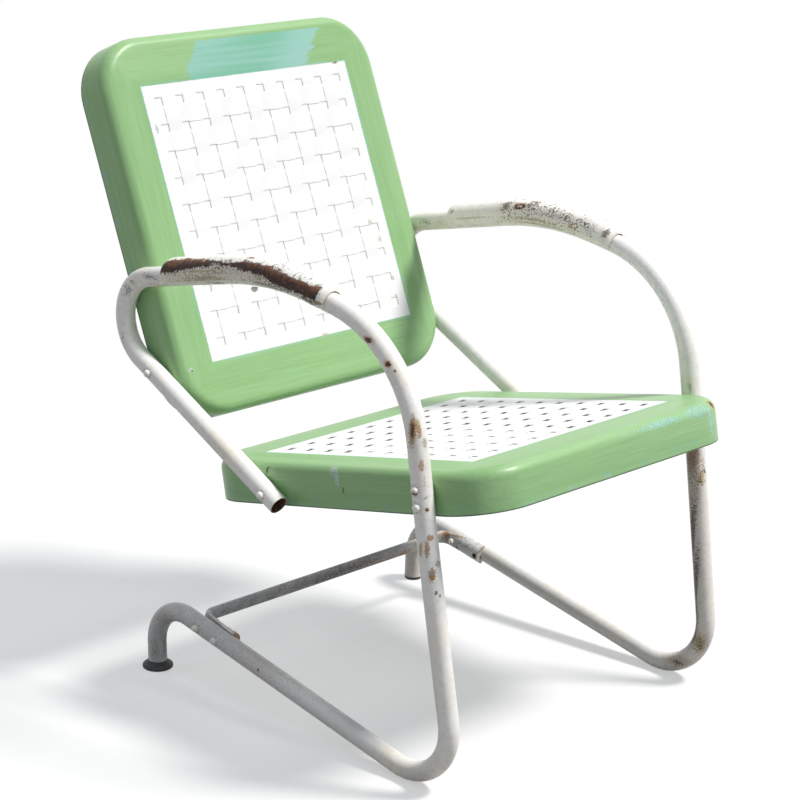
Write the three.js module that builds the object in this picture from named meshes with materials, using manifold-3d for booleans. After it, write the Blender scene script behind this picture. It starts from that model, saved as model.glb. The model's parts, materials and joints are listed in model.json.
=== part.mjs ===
// Retro metal spring lawn chair: two bent-tube side frames, stamped seat and back, arm caps, stretcher.
// Millimetres, +Z up, the chair faces -Y. The sitter's right side is at -X.
import * as THREE from 'three';
import { mergeVertices } from 'three/addons/utils/BufferGeometryUtils.js';
import Module from 'manifold-3d';

const wasm = await Module();
wasm.setup();

// Clearances
const CLEARANCE = 0.3;
const OVERRUN = 6;

// Frame tube
const TUBE_RADIUS = 12.7;
const TUBE_WALL = 1.65;
const TUBE_SIDES = 12;
const BORE_SIDES = 8;
const BEND_STEP = THREE.MathUtils.degToRad(13);

// Side frame: reaches are measured forward of the rear foot, heights above the floor
const CONTACT_REACH = 464.4;
const RUNNER_FALL = THREE.MathUtils.degToRad(11.57);
const FOOT_BEND_RADIUS = 56.5;
const FRONT_BEND_RADIUS = 70.9;
const LEG_LEAN = THREE.MathUtils.degToRad(9.33);
const ARM_FRONT_HEIGHT = 544;
const ARM_FRONT_BEND_RADIUS = 166.7;
const ARM_CREST_REACH = 235.5;
const ARM_CREST_HEIGHT = 586;
const ARM_CREST_BEND_RADIUS = 416;
const ARM_FALL = THREE.MathUtils.degToRad(11.77);
const LOOP_BEND_RADIUS = 58.9;
const LOOP_REACH_BEHIND = 45.8;
const DIAGONAL_FALL = THREE.MathUtils.degToRad(27.29);
const DIAGONAL_REACH = 245.4;

// Spacing of the two side frames, from their centrelines to the middle of the chair
const FLOOR_HALF_SPACING = 245;
const SEAT_HALF_SPACING = 252.3;
const DRAW_IN_HEIGHT = 320;

// Spring bend: the frame's lower part ends in a knuckle about its floor contact
const KNUCKLE_STEP = 0.1;
const KNUCKLE_SIDES = 48;

// Pans: seat and back are the same stamping
const PAN_LENGTH = 501;
const PAN_CORNER_RADIUS = 72.5;
const PAN_EDGE_RADIUS = 14.5;
const PAN_SHEET = 1.2;
const SKIRT_DEPTH = 53;
const PANEL_SIZE = 365;
const PANEL_SETBACK = 69.4;
const HOLES_ACROSS = 10;
const HOLE_PITCH = 35.5;
const HOLE_WIDTH = 11.7;
const HOLE_LENGTH = 10.5;

// Seat: the middle of its panel's rear edge, and its rise to the front
const SEAT_REACH = 144.7;
const SEAT_HEIGHT = 323.4;
const SEAT_RISE = THREE.MathUtils.degToRad(11.63);

// Back: the middle of its panel's lower edge, and its lean from upright
const BACK_REACH = 43.7;
const BACK_HEIGHT = 421.3;
const BACK_LEAN = THREE.MathUtils.degToRad(22.1);

// Arm caps
const CAP_LENGTH = 291;
const RIGHT_CAP_REAR_REACH = 45;
const LEFT_CAP_REAR_REACH = 59;
const CAP_WIDTH = 44;
const CAP_STAND = 11;
const CAP_LIP_DROP = 6;
const CAP_SHEET = 1.5;
const CAP_NOSE_LENGTH = 16;
const CAP_STUD_REACH = 200;
const CAP_SIDES = 16;
const CAP_RINGS = 7;
const CAP_NOSE_RINGS = 3;

// Rear stretcher: an oval tube whose ends turn forward along the runners
const STRETCHER_REACH = 76;
const STRETCHER_HEIGHT = 19;
const STRETCHER_DEPTH = 8;
const STRETCHER_WALL = 1.5;
const STRETCHER_BEND_RADIUS = 14;
const FLANGE_LENGTH = 69;
const STRETCHER_REAR_BOLT_SETBACK = 18.4;
const STRETCHER_FRONT_BOLT_SETBACK = 54.6;

// Feet
const GLIDE_RADIUS = 20.5;
const GLIDE_HEIGHT = 11;
const PLUG_HEAD_HEIGHT = 4;
const FOOT_STEM_LENGTH = 20;
const GLIDE_PROFILE_SHARES = [[0.92, 0], [1, 0.16], [1, 0.45], [0.86, 0.64]];
const PLUG_PROFILE_SHARES = [[0.9, 0], [1, 0.4]];
const FOOT_SIDES = 16;

// Bolts and nuts
const BOLT_RADIUS = 2.5;
const BOLT_HEAD_RADIUS = 5;
const BOLT_HEAD_HEIGHT = 4;
const BOLT_HEAD_SHARES = [[1, 0], [0.8, 0.7], [0, 1]];
const BOLT_SIDES = 8;
const BOLT_TAIL = 2;
const NUT_FLATS = 8;
const NUT_THICKNESS = 4;
const SEAT_UPPER_BOLT_DEPTH = 17.4;
const SEAT_LOWER_BOLT_DEPTH = 37.7;
const DIAGONAL_BOLT_SETBACK = 23;
const BACK_LOWER_BOLT_DEPTH = 33;
const BACK_UPPER_BOLT_DEPTH = 36;

// Colours
const PAINTED_TUBE = new THREE.MeshStandardMaterial({ color: 0xe9e2d6, roughness: 0.5, metalness: 0.1 });
const PAINTED_PAN = new THREE.MeshStandardMaterial({ color: 0x86bf77, roughness: 0.45, metalness: 0.1 });
const PAINTED_CAP = new THREE.MeshStandardMaterial({ color: 0xe4dccd, roughness: 0.55, metalness: 0.1 });
const BLACK_RUBBER = new THREE.MeshStandardMaterial({ color: 0x25272b, roughness: 0.8, metalness: 0 });
const PAINTED_BOLT = new THREE.MeshStandardMaterial({ color: 0xcfc6b6, roughness: 0.5, metalness: 0.3 });
const BARE_NUT = new THREE.MeshStandardMaterial({ color: 0x8c7f70, roughness: 0.6, metalness: 0.7 });

const QUARTER = Math.PI / 2;

// Beyond the outer side of both side frames
const outerFace = Math.max(FLOOR_HALF_SPACING, SEAT_HALF_SPACING) + TUBE_RADIUS + OVERRUN;

// Solids

function toSolid(geometry) {
  const bare = geometry.clone();
  bare.deleteAttribute('normal');
  bare.deleteAttribute('uv');
  const merged = mergeVertices(bare);
  const vertProperties = new Float32Array(merged.attributes.position.array);
  const triVerts = new Uint32Array(merged.index.array);
  return new wasm.Manifold(new wasm.Mesh({ numProp: 3, vertProperties, triVerts }));
}

function toGeometry(solid) {
  const mesh = solid.getMesh();
  const geometry = new THREE.BufferGeometry();
  geometry.setAttribute('position', new THREE.BufferAttribute(mesh.vertProperties, 3));
  geometry.setIndex(new THREE.BufferAttribute(mesh.triVerts, 1));
  geometry.computeVertexNormals();
  return geometry;
}

function ring(outer, outerSides, inner, innerSides) {
  const shape = polygon(outer, outerSides, new THREE.Shape());
  if (inner) shape.holes.push(polygon(inner, innerSides, new THREE.Path()));
  return shape;
}

function polygon(radius, sides, path) {
  for (let side = 0; side < sides; side++) {
    const angle = (2 * Math.PI * side) / sides;
    const across = radius * Math.cos(angle);
    const up = radius * Math.sin(angle);
    if (side) path.lineTo(across, up);
    else path.moveTo(across, up);
  }
  path.closePath();
  return path;
}

// A rod along X through a place in the side plane, from the middle out past the side frame
function crossRod(radius, sides, place, side) {
  const rod = new THREE.CylinderGeometry(radius, radius, outerFace, sides);
  rod.rotateZ(-QUARTER);
  rod.translate((side * outerFace) / 2, -place.reach, place.height);
  return toSolid(rod);
}

// Lines in the side plane: reach forward, height up, heading counted from forward towards up

function at(reach, height, radius = 0) {
  return { reach, height, radius };
}

function headingOf(from, to) {
  return Math.atan2(to.height - from.height, to.reach - from.reach);
}

function onward(from, heading, distance) {
  return at(from.reach + distance * Math.cos(heading), from.height + distance * Math.sin(heading));
}

// Where the line from p with heading a meets the line from q with heading b
function meeting(p, a, q, b) {
  const gapReach = q.reach - p.reach;
  const gapHeight = q.height - p.height;
  const distance = (gapReach * Math.sin(b) - gapHeight * Math.cos(b)) / Math.sin(b - a);
  return onward(p, a, distance);
}

// Stations of a run whose inner corners are rounded, each with its heading
function roundedRun(corners) {
  const stations = [{ ...corners[0], heading: headingOf(corners[0], corners[1]) }];
  for (let corner = 1; corner < corners.length - 1; corner++) {
    const here = corners[corner];
    const incoming = headingOf(corners[corner - 1], here);
    const outgoing = headingOf(here, corners[corner + 1]);
    const turn = Math.atan2(Math.sin(outgoing - incoming), Math.cos(outgoing - incoming));
    const hand = Math.sign(turn) || 1;
    const steps = here.radius ? Math.ceil(Math.abs(turn) / BEND_STEP) : 0;
    const tangent = onward(here, incoming, -here.radius * Math.tan(Math.abs(turn) / 2));
    const centre = onward(tangent, incoming + hand * QUARTER, here.radius);
    for (let step = 0; step <= steps; step++) {
      const heading = incoming + (steps ? (turn * step) / steps : 0);
      stations.push({ ...onward(centre, heading - hand * QUARTER, here.radius), heading });
    }
  }
  const last = corners[corners.length - 1];
  stations.push({ ...last, heading: headingOf(corners[corners.length - 2], last) });
  return stations;
}

// Half the spacing of the side frames at a height of the legs
function halfSpacingAt(height) {
  const share = THREE.MathUtils.clamp(height / DRAW_IN_HEIGHT, 0, 1);
  return THREE.MathUtils.lerp(FLOOR_HALF_SPACING, SEAT_HALF_SPACING, share);
}

// A curve through stations, with one step between each two
class BentLine extends THREE.Curve {
  constructor(places, directions) {
    super();
    this.places = places;
    this.directions = directions;
    this.steps = places.length - 1;
  }

  getUtoTmapping(share) {
    return share;
  }

  getPoint(share, target = new THREE.Vector3()) {
    const before = Math.min(Math.floor(share * this.steps), this.steps - 1);
    return target.lerpVectors(this.places[before], this.places[before + 1], share * this.steps - before);
  }

  getTangent(share, target = new THREE.Vector3()) {
    return target.copy(this.directions[Math.round(share * this.steps)]);
  }
}

function lineThrough(stations, side) {
  const places = [];
  const directions = [];
  for (const station of stations) {
    const half = station.half ?? halfSpacingAt(station.height);
    places.push(new THREE.Vector3(side * half, -station.reach, station.height));
    directions.push(new THREE.Vector3(0, -Math.cos(station.heading), Math.sin(station.heading)));
  }
  return new BentLine(places, directions);
}

function sweep(shape, line) {
  return new THREE.ExtrudeGeometry(shape, { steps: line.steps, extrudePath: line });
}

// The side frame's centreline

const contact = at(CONTACT_REACH, TUBE_RADIUS);
const knuckleRadius = TUBE_RADIUS - KNUCKLE_STEP;
const legHeading = QUARTER + LEG_LEAN;
const runnerFront = at(CONTACT_REACH - FRONT_BEND_RADIUS * Math.tan(RUNNER_FALL / 2), TUBE_RADIUS);
const runnerRear = at(0, TUBE_RADIUS + runnerFront.reach * Math.tan(RUNNER_FALL));
const legFoot = at(CONTACT_REACH + FRONT_BEND_RADIUS * Math.tan(legHeading / 2), TUBE_RADIUS);
const legTop = onward(legFoot, legHeading, (ARM_FRONT_HEIGHT - TUBE_RADIUS) / Math.cos(LEG_LEAN));
const legKink = onward(legFoot, legHeading, (DRAW_IN_HEIGHT - TUBE_RADIUS) / Math.cos(LEG_LEAN));
const armCrest = at(ARM_CREST_REACH, ARM_CREST_HEIGHT);
const armRearHeading = Math.PI + ARM_FALL;
const loopCentreReach = LOOP_BEND_RADIUS - LOOP_REACH_BEHIND;
const armOverLoop = meeting(armCrest, armRearHeading, at(loopCentreReach, 0), QUARTER);
const loopCentre = at(loopCentreReach, armOverLoop.height - LOOP_BEND_RADIUS / Math.cos(ARM_FALL));
const diagonalTop = onward(loopCentre, -DIAGONAL_FALL - QUARTER, LOOP_BEND_RADIUS);
const loopCorner = meeting(armCrest, armRearHeading, diagonalTop, -DIAGONAL_FALL);
const diagonalLength = (DIAGONAL_REACH - diagonalTop.reach) / Math.cos(DIAGONAL_FALL);
const diagonalEnd = onward(diagonalTop, -DIAGONAL_FALL, diagonalLength);

const upperStations = roundedRun([
  contact,
  { ...legFoot, radius: FRONT_BEND_RADIUS },
  legKink,
  { ...legTop, radius: ARM_FRONT_BEND_RADIUS },
  { ...armCrest, radius: ARM_CREST_BEND_RADIUS },
  { ...loopCorner, radius: LOOP_BEND_RADIUS },
  { ...diagonalEnd, half: SEAT_HALF_SPACING },
]);
// The front bend starts at the contact itself, so the run's first station is doubled
upperStations.shift();

function baseStations(footHeight) {
  return roundedRun([
    at(0, footHeight),
    { ...runnerRear, radius: FOOT_BEND_RADIUS },
    { ...runnerFront, radius: FRONT_BEND_RADIUS },
    at(CONTACT_REACH + TUBE_RADIUS + OVERRUN, TUBE_RADIUS),
  ]);
}

// A place on the runner, a distance behind or before the stretcher along the runner's slope
function onRunner(distance) {
  const start = meeting(runnerRear, -RUNNER_FALL, at(STRETCHER_REACH, 0), QUARTER);
  return onward(start, -RUNNER_FALL, distance);
}

// Places in the pans: along is measured on the face from the panel's edge, depth behind the face

const seat = { origin: at(SEAT_REACH, SEAT_HEIGHT), along: SEAT_RISE, into: SEAT_RISE - QUARTER };
const back = { origin: at(BACK_REACH, BACK_HEIGHT), along: QUARTER + BACK_LEAN, into: Math.PI + BACK_LEAN };

function crossingAtDepth(pan, depth, lineStart, lineHeading) {
  return meeting(onward(pan.origin, pan.into, depth), pan.along, lineStart, lineHeading);
}

// The upper place where a pan's line at a depth crosses the rear loop
function loopCrossing(pan, depth) {
  const start = onward(pan.origin, pan.into, depth);
  const offReach = start.reach - loopCentre.reach;
  const offHeight = start.height - loopCentre.height;
  const along = offReach * Math.cos(pan.along) + offHeight * Math.sin(pan.along);
  const square = along ** 2 - offReach ** 2 - offHeight ** 2 + LOOP_BEND_RADIUS ** 2;
  return onward(start, pan.along, Math.sqrt(square) - along);
}

const boltPlaces = {
  seat_front_upper: crossingAtDepth(seat, SEAT_UPPER_BOLT_DEPTH, legTop, legHeading),
  seat_front_lower: crossingAtDepth(seat, SEAT_LOWER_BOLT_DEPTH, legTop, legHeading),
  seat_rear: onward(diagonalEnd, -DIAGONAL_FALL, -DIAGONAL_BOLT_SETBACK),
  back_lower: crossingAtDepth(back, BACK_LOWER_BOLT_DEPTH, diagonalEnd, -DIAGONAL_FALL),
  back_upper: loopCrossing(back, BACK_UPPER_BOLT_DEPTH),
};
const seatBolts = ['seat_front_upper', 'seat_front_lower', 'seat_rear'];
const backBolts = ['back_lower', 'back_upper'];
const stretcherPlaces = {
  stretcher_rear: onRunner(STRETCHER_REAR_BOLT_SETBACK),
  stretcher_front: onRunner(STRETCHER_FRONT_BOLT_SETBACK),
};

const boltHoleRadius = BOLT_RADIUS + CLEARANCE;

// Side frames

function knuckle(radius, side) {
  return crossRod(radius, KNUCKLE_SIDES, contact, side);
}

function cutBoltHoles(solid, places, side) {
  let cut = solid;
  for (const place of places) cut = cut.subtract(crossRod(boltHoleRadius, BORE_SIDES, place, side));
  return cut;
}

function baseTube(side, footHeight) {
  const shape = ring(TUBE_RADIUS, TUBE_SIDES, TUBE_RADIUS - TUBE_WALL, BORE_SIDES);
  const tube = toSolid(sweep(shape, lineThrough(baseStations(footHeight), side)));
  const length = CONTACT_REACH + TUBE_RADIUS + OVERRUN;
  const behind = new THREE.BoxGeometry(outerFace * 2, length, length);
  behind.translate(0, length / 2 - CONTACT_REACH, length / 2 - OVERRUN);
  const kept = toSolid(behind).add(knuckle(knuckleRadius, side));
  return toGeometry(cutBoltHoles(tube.intersect(kept), Object.values(stretcherPlaces), side));
}

function studRod(radius, fromOffset, toOffset) {
  const station = armStation(CAP_STUD_REACH);
  const rod = new THREE.CylinderGeometry(radius, radius, toOffset - fromOffset, BOLT_SIDES);
  rod.translate(0, (fromOffset + toOffset) / 2, 0);
  rod.rotateX(QUARTER);
  return tiltToArm(rod, station);
}

// Puts a geometry made upright about the origin on the arm, square to it
function tiltToArm(geometry, station) {
  geometry.rotateX(Math.PI - station.heading);
  geometry.translate(0, -station.reach, station.height);
  return geometry;
}

function upperTube(side, studGoesThrough) {
  const shape = ring(TUBE_RADIUS, TUBE_SIDES, TUBE_RADIUS - TUBE_WALL, BORE_SIDES);
  const tube = toSolid(sweep(shape, lineThrough(upperStations, side)));
  const opened = tube.subtract(knuckle(knuckleRadius + CLEARANCE, side));
  const bolted = cutBoltHoles(opened, Object.values(boltPlaces), side);
  const pastTube = TUBE_RADIUS + OVERRUN;
  const studHole = studRod(boltHoleRadius, studGoesThrough ? -pastTube : 0, pastTube);
  studHole.translate(side * SEAT_HALF_SPACING, 0, 0);
  return toGeometry(bolted.subtract(toSolid(studHole)));
}

// Pans, made with the face up: x across, y along the face from the panel's edge, z out of the face

function roundedRectangle(halfWidth, fromY, toY, radius) {
  const shape = new THREE.Shape();
  shape.moveTo(halfWidth, fromY + radius);
  shape.lineTo(halfWidth, toY - radius);
  shape.absarc(halfWidth - radius, toY - radius, radius, 0, QUARTER);
  shape.lineTo(radius - halfWidth, toY);
  shape.absarc(radius - halfWidth, toY - radius, radius, QUARTER, Math.PI);
  shape.lineTo(-halfWidth, fromY + radius);
  shape.absarc(radius - halfWidth, fromY + radius, radius, Math.PI, 3 * QUARTER);
  shape.lineTo(halfWidth - radius, fromY);
  shape.absarc(halfWidth - radius, fromY + radius, radius, 3 * QUARTER, 4 * QUARTER);
  return shape;
}

// A block with its face at z = 0 less the inset, and rounded edges round the face
function roundedBlock(inset) {
  const halfWidth = SEAT_HALF_SPACING - TUBE_RADIUS - CLEARANCE - inset;
  const edge = PAN_EDGE_RADIUS - inset;
  const toY = PAN_LENGTH - PANEL_SETBACK - inset;
  const outline = roundedRectangle(halfWidth, inset - PANEL_SETBACK, toY, PAN_CORNER_RADIUS - inset);
  const depth = SKIRT_DEPTH + OVERRUN;
  const block = new THREE.ExtrudeGeometry(outline, {
    depth,
    curveSegments: 6,
    bevelThickness: edge,
    bevelSize: edge,
    bevelOffset: -edge,
    bevelSegments: 4,
  });
  block.translate(0, 0, -depth - edge - inset);
  return toSolid(block);
}

function panelHoles() {
  const hole = new THREE.BoxGeometry(HOLE_WIDTH, HOLE_LENGTH, PAN_SHEET + 2 * OVERRUN);
  const solids = [];
  const middle = (HOLES_ACROSS - 1) / 2;
  for (let row = 0; row < HOLES_ACROSS; row++) {
    for (let column = 0; column < HOLES_ACROSS; column++) {
      const across = (column - middle) * HOLE_PITCH;
      const along = PANEL_SIZE / 2 + (row - middle) * HOLE_PITCH;
      solids.push(toSolid(hole).translate(across, along, 0));
    }
  }
  return wasm.Manifold.compose(solids);
}

// The skirt's bolt holes on both sides, given in the pan's own frame
function skirtHoles(pan, bolts) {
  let holes = null;
  for (const place of bolts.map((bolt) => boltPlaces[bolt])) {
    const offReach = place.reach - pan.origin.reach;
    const offHeight = place.height - pan.origin.height;
    const along = offReach * Math.cos(pan.along) + offHeight * Math.sin(pan.along);
    const depth = offReach * Math.cos(pan.into) + offHeight * Math.sin(pan.into);
    const rod = new THREE.CylinderGeometry(boltHoleRadius, boltHoleRadius, 2 * outerFace, BORE_SIDES);
    rod.rotateZ(QUARTER);
    rod.translate(0, along, -depth);
    holes = holes ? holes.add(toSolid(rod)) : toSolid(rod);
  }
  return holes;
}

function panGeometry(pan, bolts) {
  const room = new THREE.BoxGeometry(2 * outerFace, 2 * PAN_LENGTH, SKIRT_DEPTH + OVERRUN);
  room.translate(0, 0, (OVERRUN - SKIRT_DEPTH) / 2);
  const shell = roundedBlock(0).subtract(roundedBlock(PAN_SHEET)).intersect(toSolid(room));
  return toGeometry(shell.subtract(panelHoles()).subtract(skirtHoles(pan, bolts)));
}

// Arm caps

// A station of the arm's centreline at a reach
function armStation(reach) {
  for (let index = 1; index < upperStations.length; index++) {
    const before = upperStations[index - 1];
    const after = upperStations[index];
    const runsBack = Math.cos(before.heading) < 0 && before.reach >= reach && after.reach <= reach;
    if (runsBack && after.height > DRAW_IN_HEIGHT) {
      const share = (before.reach - reach) / (before.reach - after.reach);
      const height = THREE.MathUtils.lerp(before.height, after.height, share);
      return { reach, height, heading: headingOf(before, after), share };
    }
  }
  throw new Error('no arm at this reach');
}

// One section of a cap: an oval over the tube, flat below at the lip, drawn in to the tube at its ends
function capSection(reach, swell, inset) {
  const snug = TUBE_RADIUS + CLEARANCE + CAP_SHEET;
  const top = THREE.MathUtils.lerp(snug, TUBE_RADIUS + CAP_STAND, swell) - inset;
  const halfWidth = THREE.MathUtils.lerp(snug, CAP_WIDTH / 2, swell) - inset;
  const middle = THREE.MathUtils.lerp(0, CAP_STAND / 2, swell);
  const station = armStation(reach);
  const points = [];
  for (let side = 0; side < CAP_SIDES; side++) {
    const angle = (2 * Math.PI * side) / CAP_SIDES;
    const up = Math.max(middle + (top - middle) * Math.sin(angle), inset - CAP_LIP_DROP);
    const lifted = onward(station, station.heading - QUARTER, up);
    points.push(new THREE.Vector3(halfWidth * Math.cos(angle), -lifted.reach, lifted.height));
  }
  return points;
}

// Joins rings of points, from the rear to the front, to one closed body
function loft(rings) {
  const count = rings[0].length;
  const points = rings.flat();
  const index = [];
  for (let r = 0; r < rings.length - 1; r++) {
    for (let side = 0; side < count; side++) {
      const a = r * count + side;
      const b = r * count + ((side + 1) % count);
      index.push(a, b, a + count, b, b + count, a + count);
    }
  }
  const rearCentre = points.length;
  const frontCentre = points.length + 1;
  const lastRing = (rings.length - 1) * count;
  for (const end of [rings[0], rings[rings.length - 1]]) {
    const centre = new THREE.Vector3();
    for (const point of end) centre.addScaledVector(point, 1 / count);
    points.push(centre);
  }
  for (let side = 0; side < count; side++) {
    const next = (side + 1) % count;
    index.push(next, side, rearCentre);
    index.push(lastRing + side, lastRing + next, frontCentre);
  }
  const geometry = new THREE.BufferGeometry().setFromPoints(points);
  geometry.setIndex(index);
  return geometry;
}

function capBody(rearReach, inset) {
  const rings = [];
  const from = rearReach + inset;
  const to = rearReach + CAP_LENGTH - inset;
  const nose = CAP_NOSE_LENGTH - inset;
  for (let step = 0; step < CAP_NOSE_RINGS; step++) {
    const angle = (QUARTER * step) / CAP_NOSE_RINGS;
    rings.push(capSection(from + nose * (1 - Math.cos(angle)), Math.sin(angle), inset));
  }
  for (let step = 0; step <= CAP_RINGS; step++) {
    rings.push(capSection(THREE.MathUtils.lerp(from + nose, to - nose, step / CAP_RINGS), 1, inset));
  }
  for (let step = CAP_NOSE_RINGS - 1; step >= 0; step--) {
    const angle = (QUARTER * step) / CAP_NOSE_RINGS;
    rings.push(capSection(to - nose * (1 - Math.cos(angle)), Math.sin(angle), inset));
  }
  return toSolid(loft(rings));
}

function armCap(side, studDrop) {
  const isArm = (station) => station.height > DRAW_IN_HEIGHT && Math.cos(station.heading) < 0;
  const arm = upperStations.filter(isArm);
  const bore = sweep(ring(TUBE_RADIUS + CLEARANCE, TUBE_SIDES), lineThrough(arm, 0));
  const rearReach = side < 0 ? RIGHT_CAP_REAR_REACH : LEFT_CAP_REAR_REACH;
  const shell = capBody(rearReach, 0).subtract(capBody(rearReach, CAP_SHEET)).subtract(toSolid(bore));
  const stud = studRod(BOLT_RADIUS, studDrop, TUBE_RADIUS + CAP_STAND - CAP_SHEET / 2);
  const cap = toGeometry(shell.add(toSolid(stud)));
  cap.translate(side * SEAT_HALF_SPACING, 0, 0);
  return cap;
}

// Rear stretcher

function oval(height, width) {
  const radius = width / 2;
  const rise = height / 2 - radius;
  const shape = new THREE.Shape();
  shape.absarc(0, rise, radius, 0, Math.PI);
  shape.absarc(0, -rise, radius, Math.PI, 2 * Math.PI);
  return shape;
}

function stretcherLine() {
  const flangeEnd = onRunner(FLANGE_LENGTH);
  const flangeX = halfSpacingAt(flangeEnd.height) - TUBE_RADIUS - CLEARANCE - STRETCHER_DEPTH / 2;
  const places = [];
  const directions = [];
  const bendSteps = Math.ceil(QUARTER / BEND_STEP / 2);
  // Across is measured from the middle, forward along the runner's slope; heading from across to forward
  function station(across, forward, heading) {
    const place = onRunner(forward);
    places.push(new THREE.Vector3(across, -place.reach, place.height));
    const slope = Math.sin(heading);
    directions.push(
      new THREE.Vector3(Math.cos(heading), -slope * Math.cos(RUNNER_FALL), -slope * Math.sin(RUNNER_FALL)),
    );
  }
  station(-flangeX, FLANGE_LENGTH, -QUARTER);
  for (const side of [-1, 1]) {
    for (let step = 0; step <= bendSteps; step++) {
      const heading = (side < 0 ? -QUARTER : 0) + (QUARTER * step) / bendSteps;
      const across = side * (flangeX - STRETCHER_BEND_RADIUS) + STRETCHER_BEND_RADIUS * Math.sin(heading);
      station(across, STRETCHER_BEND_RADIUS * (1 - Math.cos(heading)), heading);
    }
  }
  station(flangeX, FLANGE_LENGTH, QUARTER);
  return new BentLine(places, directions);
}

function rearStretcher() {
  const shape = oval(STRETCHER_HEIGHT, STRETCHER_DEPTH);
  const hollow = oval(STRETCHER_HEIGHT - 2 * STRETCHER_WALL, STRETCHER_DEPTH - 2 * STRETCHER_WALL);
  shape.holes.push(new THREE.Path(hollow.getPoints(4)));
  const bar = new THREE.ExtrudeGeometry(shape, {
    steps: stretcherLine().steps,
    extrudePath: stretcherLine(),
    curveSegments: 4,
  });
  const places = Object.values(stretcherPlaces);
  return toGeometry(cutBoltHoles(cutBoltHoles(toSolid(bar), places, -1), places, 1));
}

// Feet

// The stem fits between the flats of the tube's bore, with room for the frame's lean along the stem
const frameLean = Math.abs(SEAT_HALF_SPACING - FLOOR_HALF_SPACING) / DRAW_IN_HEIGHT;
const boreFlats = (TUBE_RADIUS - TUBE_WALL) * Math.cos(Math.PI / BORE_SIDES);
const stemRadius = boreFlats - CLEARANCE - frameLean * FOOT_STEM_LENGTH;

function lathe(profile, sides) {
  const points = profile.map(([radius, height]) => new THREE.Vector2(radius, height));
  const turned = new THREE.LatheGeometry(points, sides);
  turned.rotateX(QUARTER);
  return turned;
}

function footGeometry(radius, height, shares) {
  return lathe(
    [
      [0, 0],
      ...shares.map(([out, up]) => [radius * out, height * up]),
      [TUBE_RADIUS, height],
      [stemRadius, height],
      [stemRadius, height + FOOT_STEM_LENGTH],
      [0, height + FOOT_STEM_LENGTH],
    ],
    FOOT_SIDES,
  );
}

// Fasteners, made along Z with the head up and the seat of the head at z = 0

function boltGeometry(length) {
  return lathe(
    [
      [0, -length],
      [BOLT_RADIUS, -length],
      [BOLT_RADIUS, 0],
      ...BOLT_HEAD_SHARES.map(([out, up]) => [BOLT_HEAD_RADIUS * out, BOLT_HEAD_HEIGHT * up]),
    ],
    BOLT_SIDES,
  );
}

function nutGeometry() {
  const across = NUT_FLATS / 2 / Math.cos(Math.PI / 6);
  const shape = ring(across, 6, boltHoleRadius, BOLT_SIDES);
  return new THREE.ExtrudeGeometry(shape, { depth: NUT_THICKNESS, bevelEnabled: false });
}

const chair = new THREE.Group();

function addMesh(name, geometry, material) {
  const mesh = new THREE.Mesh(geometry, material);
  mesh.name = name;
  chair.add(mesh);
  return mesh;
}

// A bolt through the frame from outside, with its nut against a face further in
function addFastener(name, side, place, headX, nutX, tilt) {
  const length = headX - nutX + NUT_THICKNESS + BOLT_TAIL;
  const bolt = addMesh(`${name}_bolt`, boltGeometry(length), PAINTED_BOLT);
  bolt.rotation.y = side * QUARTER;
  bolt.position.set(side * headX, -place.reach, place.height);
  const nut = addMesh(`${name}_nut`, nutGeometry(), BARE_NUT);
  nut.rotation.set(tilt, side * -QUARTER, 0);
  nut.position.set(side * nutX, -place.reach, place.height);
}

const sideNames = { [-1]: 'right', [1]: 'left' };
const footHeights = { [-1]: GLIDE_HEIGHT + CLEARANCE, [1]: PLUG_HEAD_HEIGHT + CLEARANCE };
const studDrops = { [-1]: -TUBE_RADIUS - CLEARANCE - NUT_THICKNESS - BOLT_TAIL, [1]: 0 };
const headX = SEAT_HALF_SPACING + TUBE_RADIUS + CLEARANCE;
const skirtNutX = SEAT_HALF_SPACING - TUBE_RADIUS - PAN_SHEET - 2 * CLEARANCE;

for (const side of [-1, 1]) {
  const name = sideNames[side];
  addMesh(`${name}_base_tube`, baseTube(side, footHeights[side]), PAINTED_TUBE);
  addMesh(`${name}_upper_tube`, upperTube(side, side < 0), PAINTED_TUBE);
  addMesh(`${name}_arm_cap`, armCap(side, studDrops[side]), PAINTED_CAP);
  for (const bolt of seatBolts) {
    addFastener(`${name}_${bolt}`, side, boltPlaces[bolt], headX, skirtNutX, -SEAT_RISE);
  }
  for (const bolt of backBolts) {
    addFastener(`${name}_${bolt}`, side, boltPlaces[bolt], headX, skirtNutX, -BACK_LEAN);
  }
}

const seatPan = addMesh('seat_pan', panGeometry(seat, seatBolts), PAINTED_PAN);
seatPan.rotation.set(-SEAT_RISE, 0, Math.PI);
seatPan.position.set(0, -SEAT_REACH, SEAT_HEIGHT);

const backPan = addMesh('back_pan', panGeometry(back, backBolts), PAINTED_PAN);
backPan.rotation.set(QUARTER - BACK_LEAN, 0, 0);
backPan.position.set(0, -BACK_REACH, BACK_HEIGHT);

addMesh('rear_stretcher', rearStretcher(), PAINTED_TUBE);
for (const [bolt, place] of Object.entries(stretcherPlaces)) {
  const boltX = halfSpacingAt(place.height) + TUBE_RADIUS + CLEARANCE;
  const flangeEnd = halfSpacingAt(onRunner(FLANGE_LENGTH).height);
  const nutX = flangeEnd - TUBE_RADIUS - STRETCHER_DEPTH - 2 * CLEARANCE;
  const sides = bolt === 'stretcher_front' ? [-1] : [-1, 1];
  for (const side of sides) {
    addFastener(`${sideNames[side]}_${bolt}`, side, place, boltX, nutX, RUNNER_FALL);
  }
}

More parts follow.
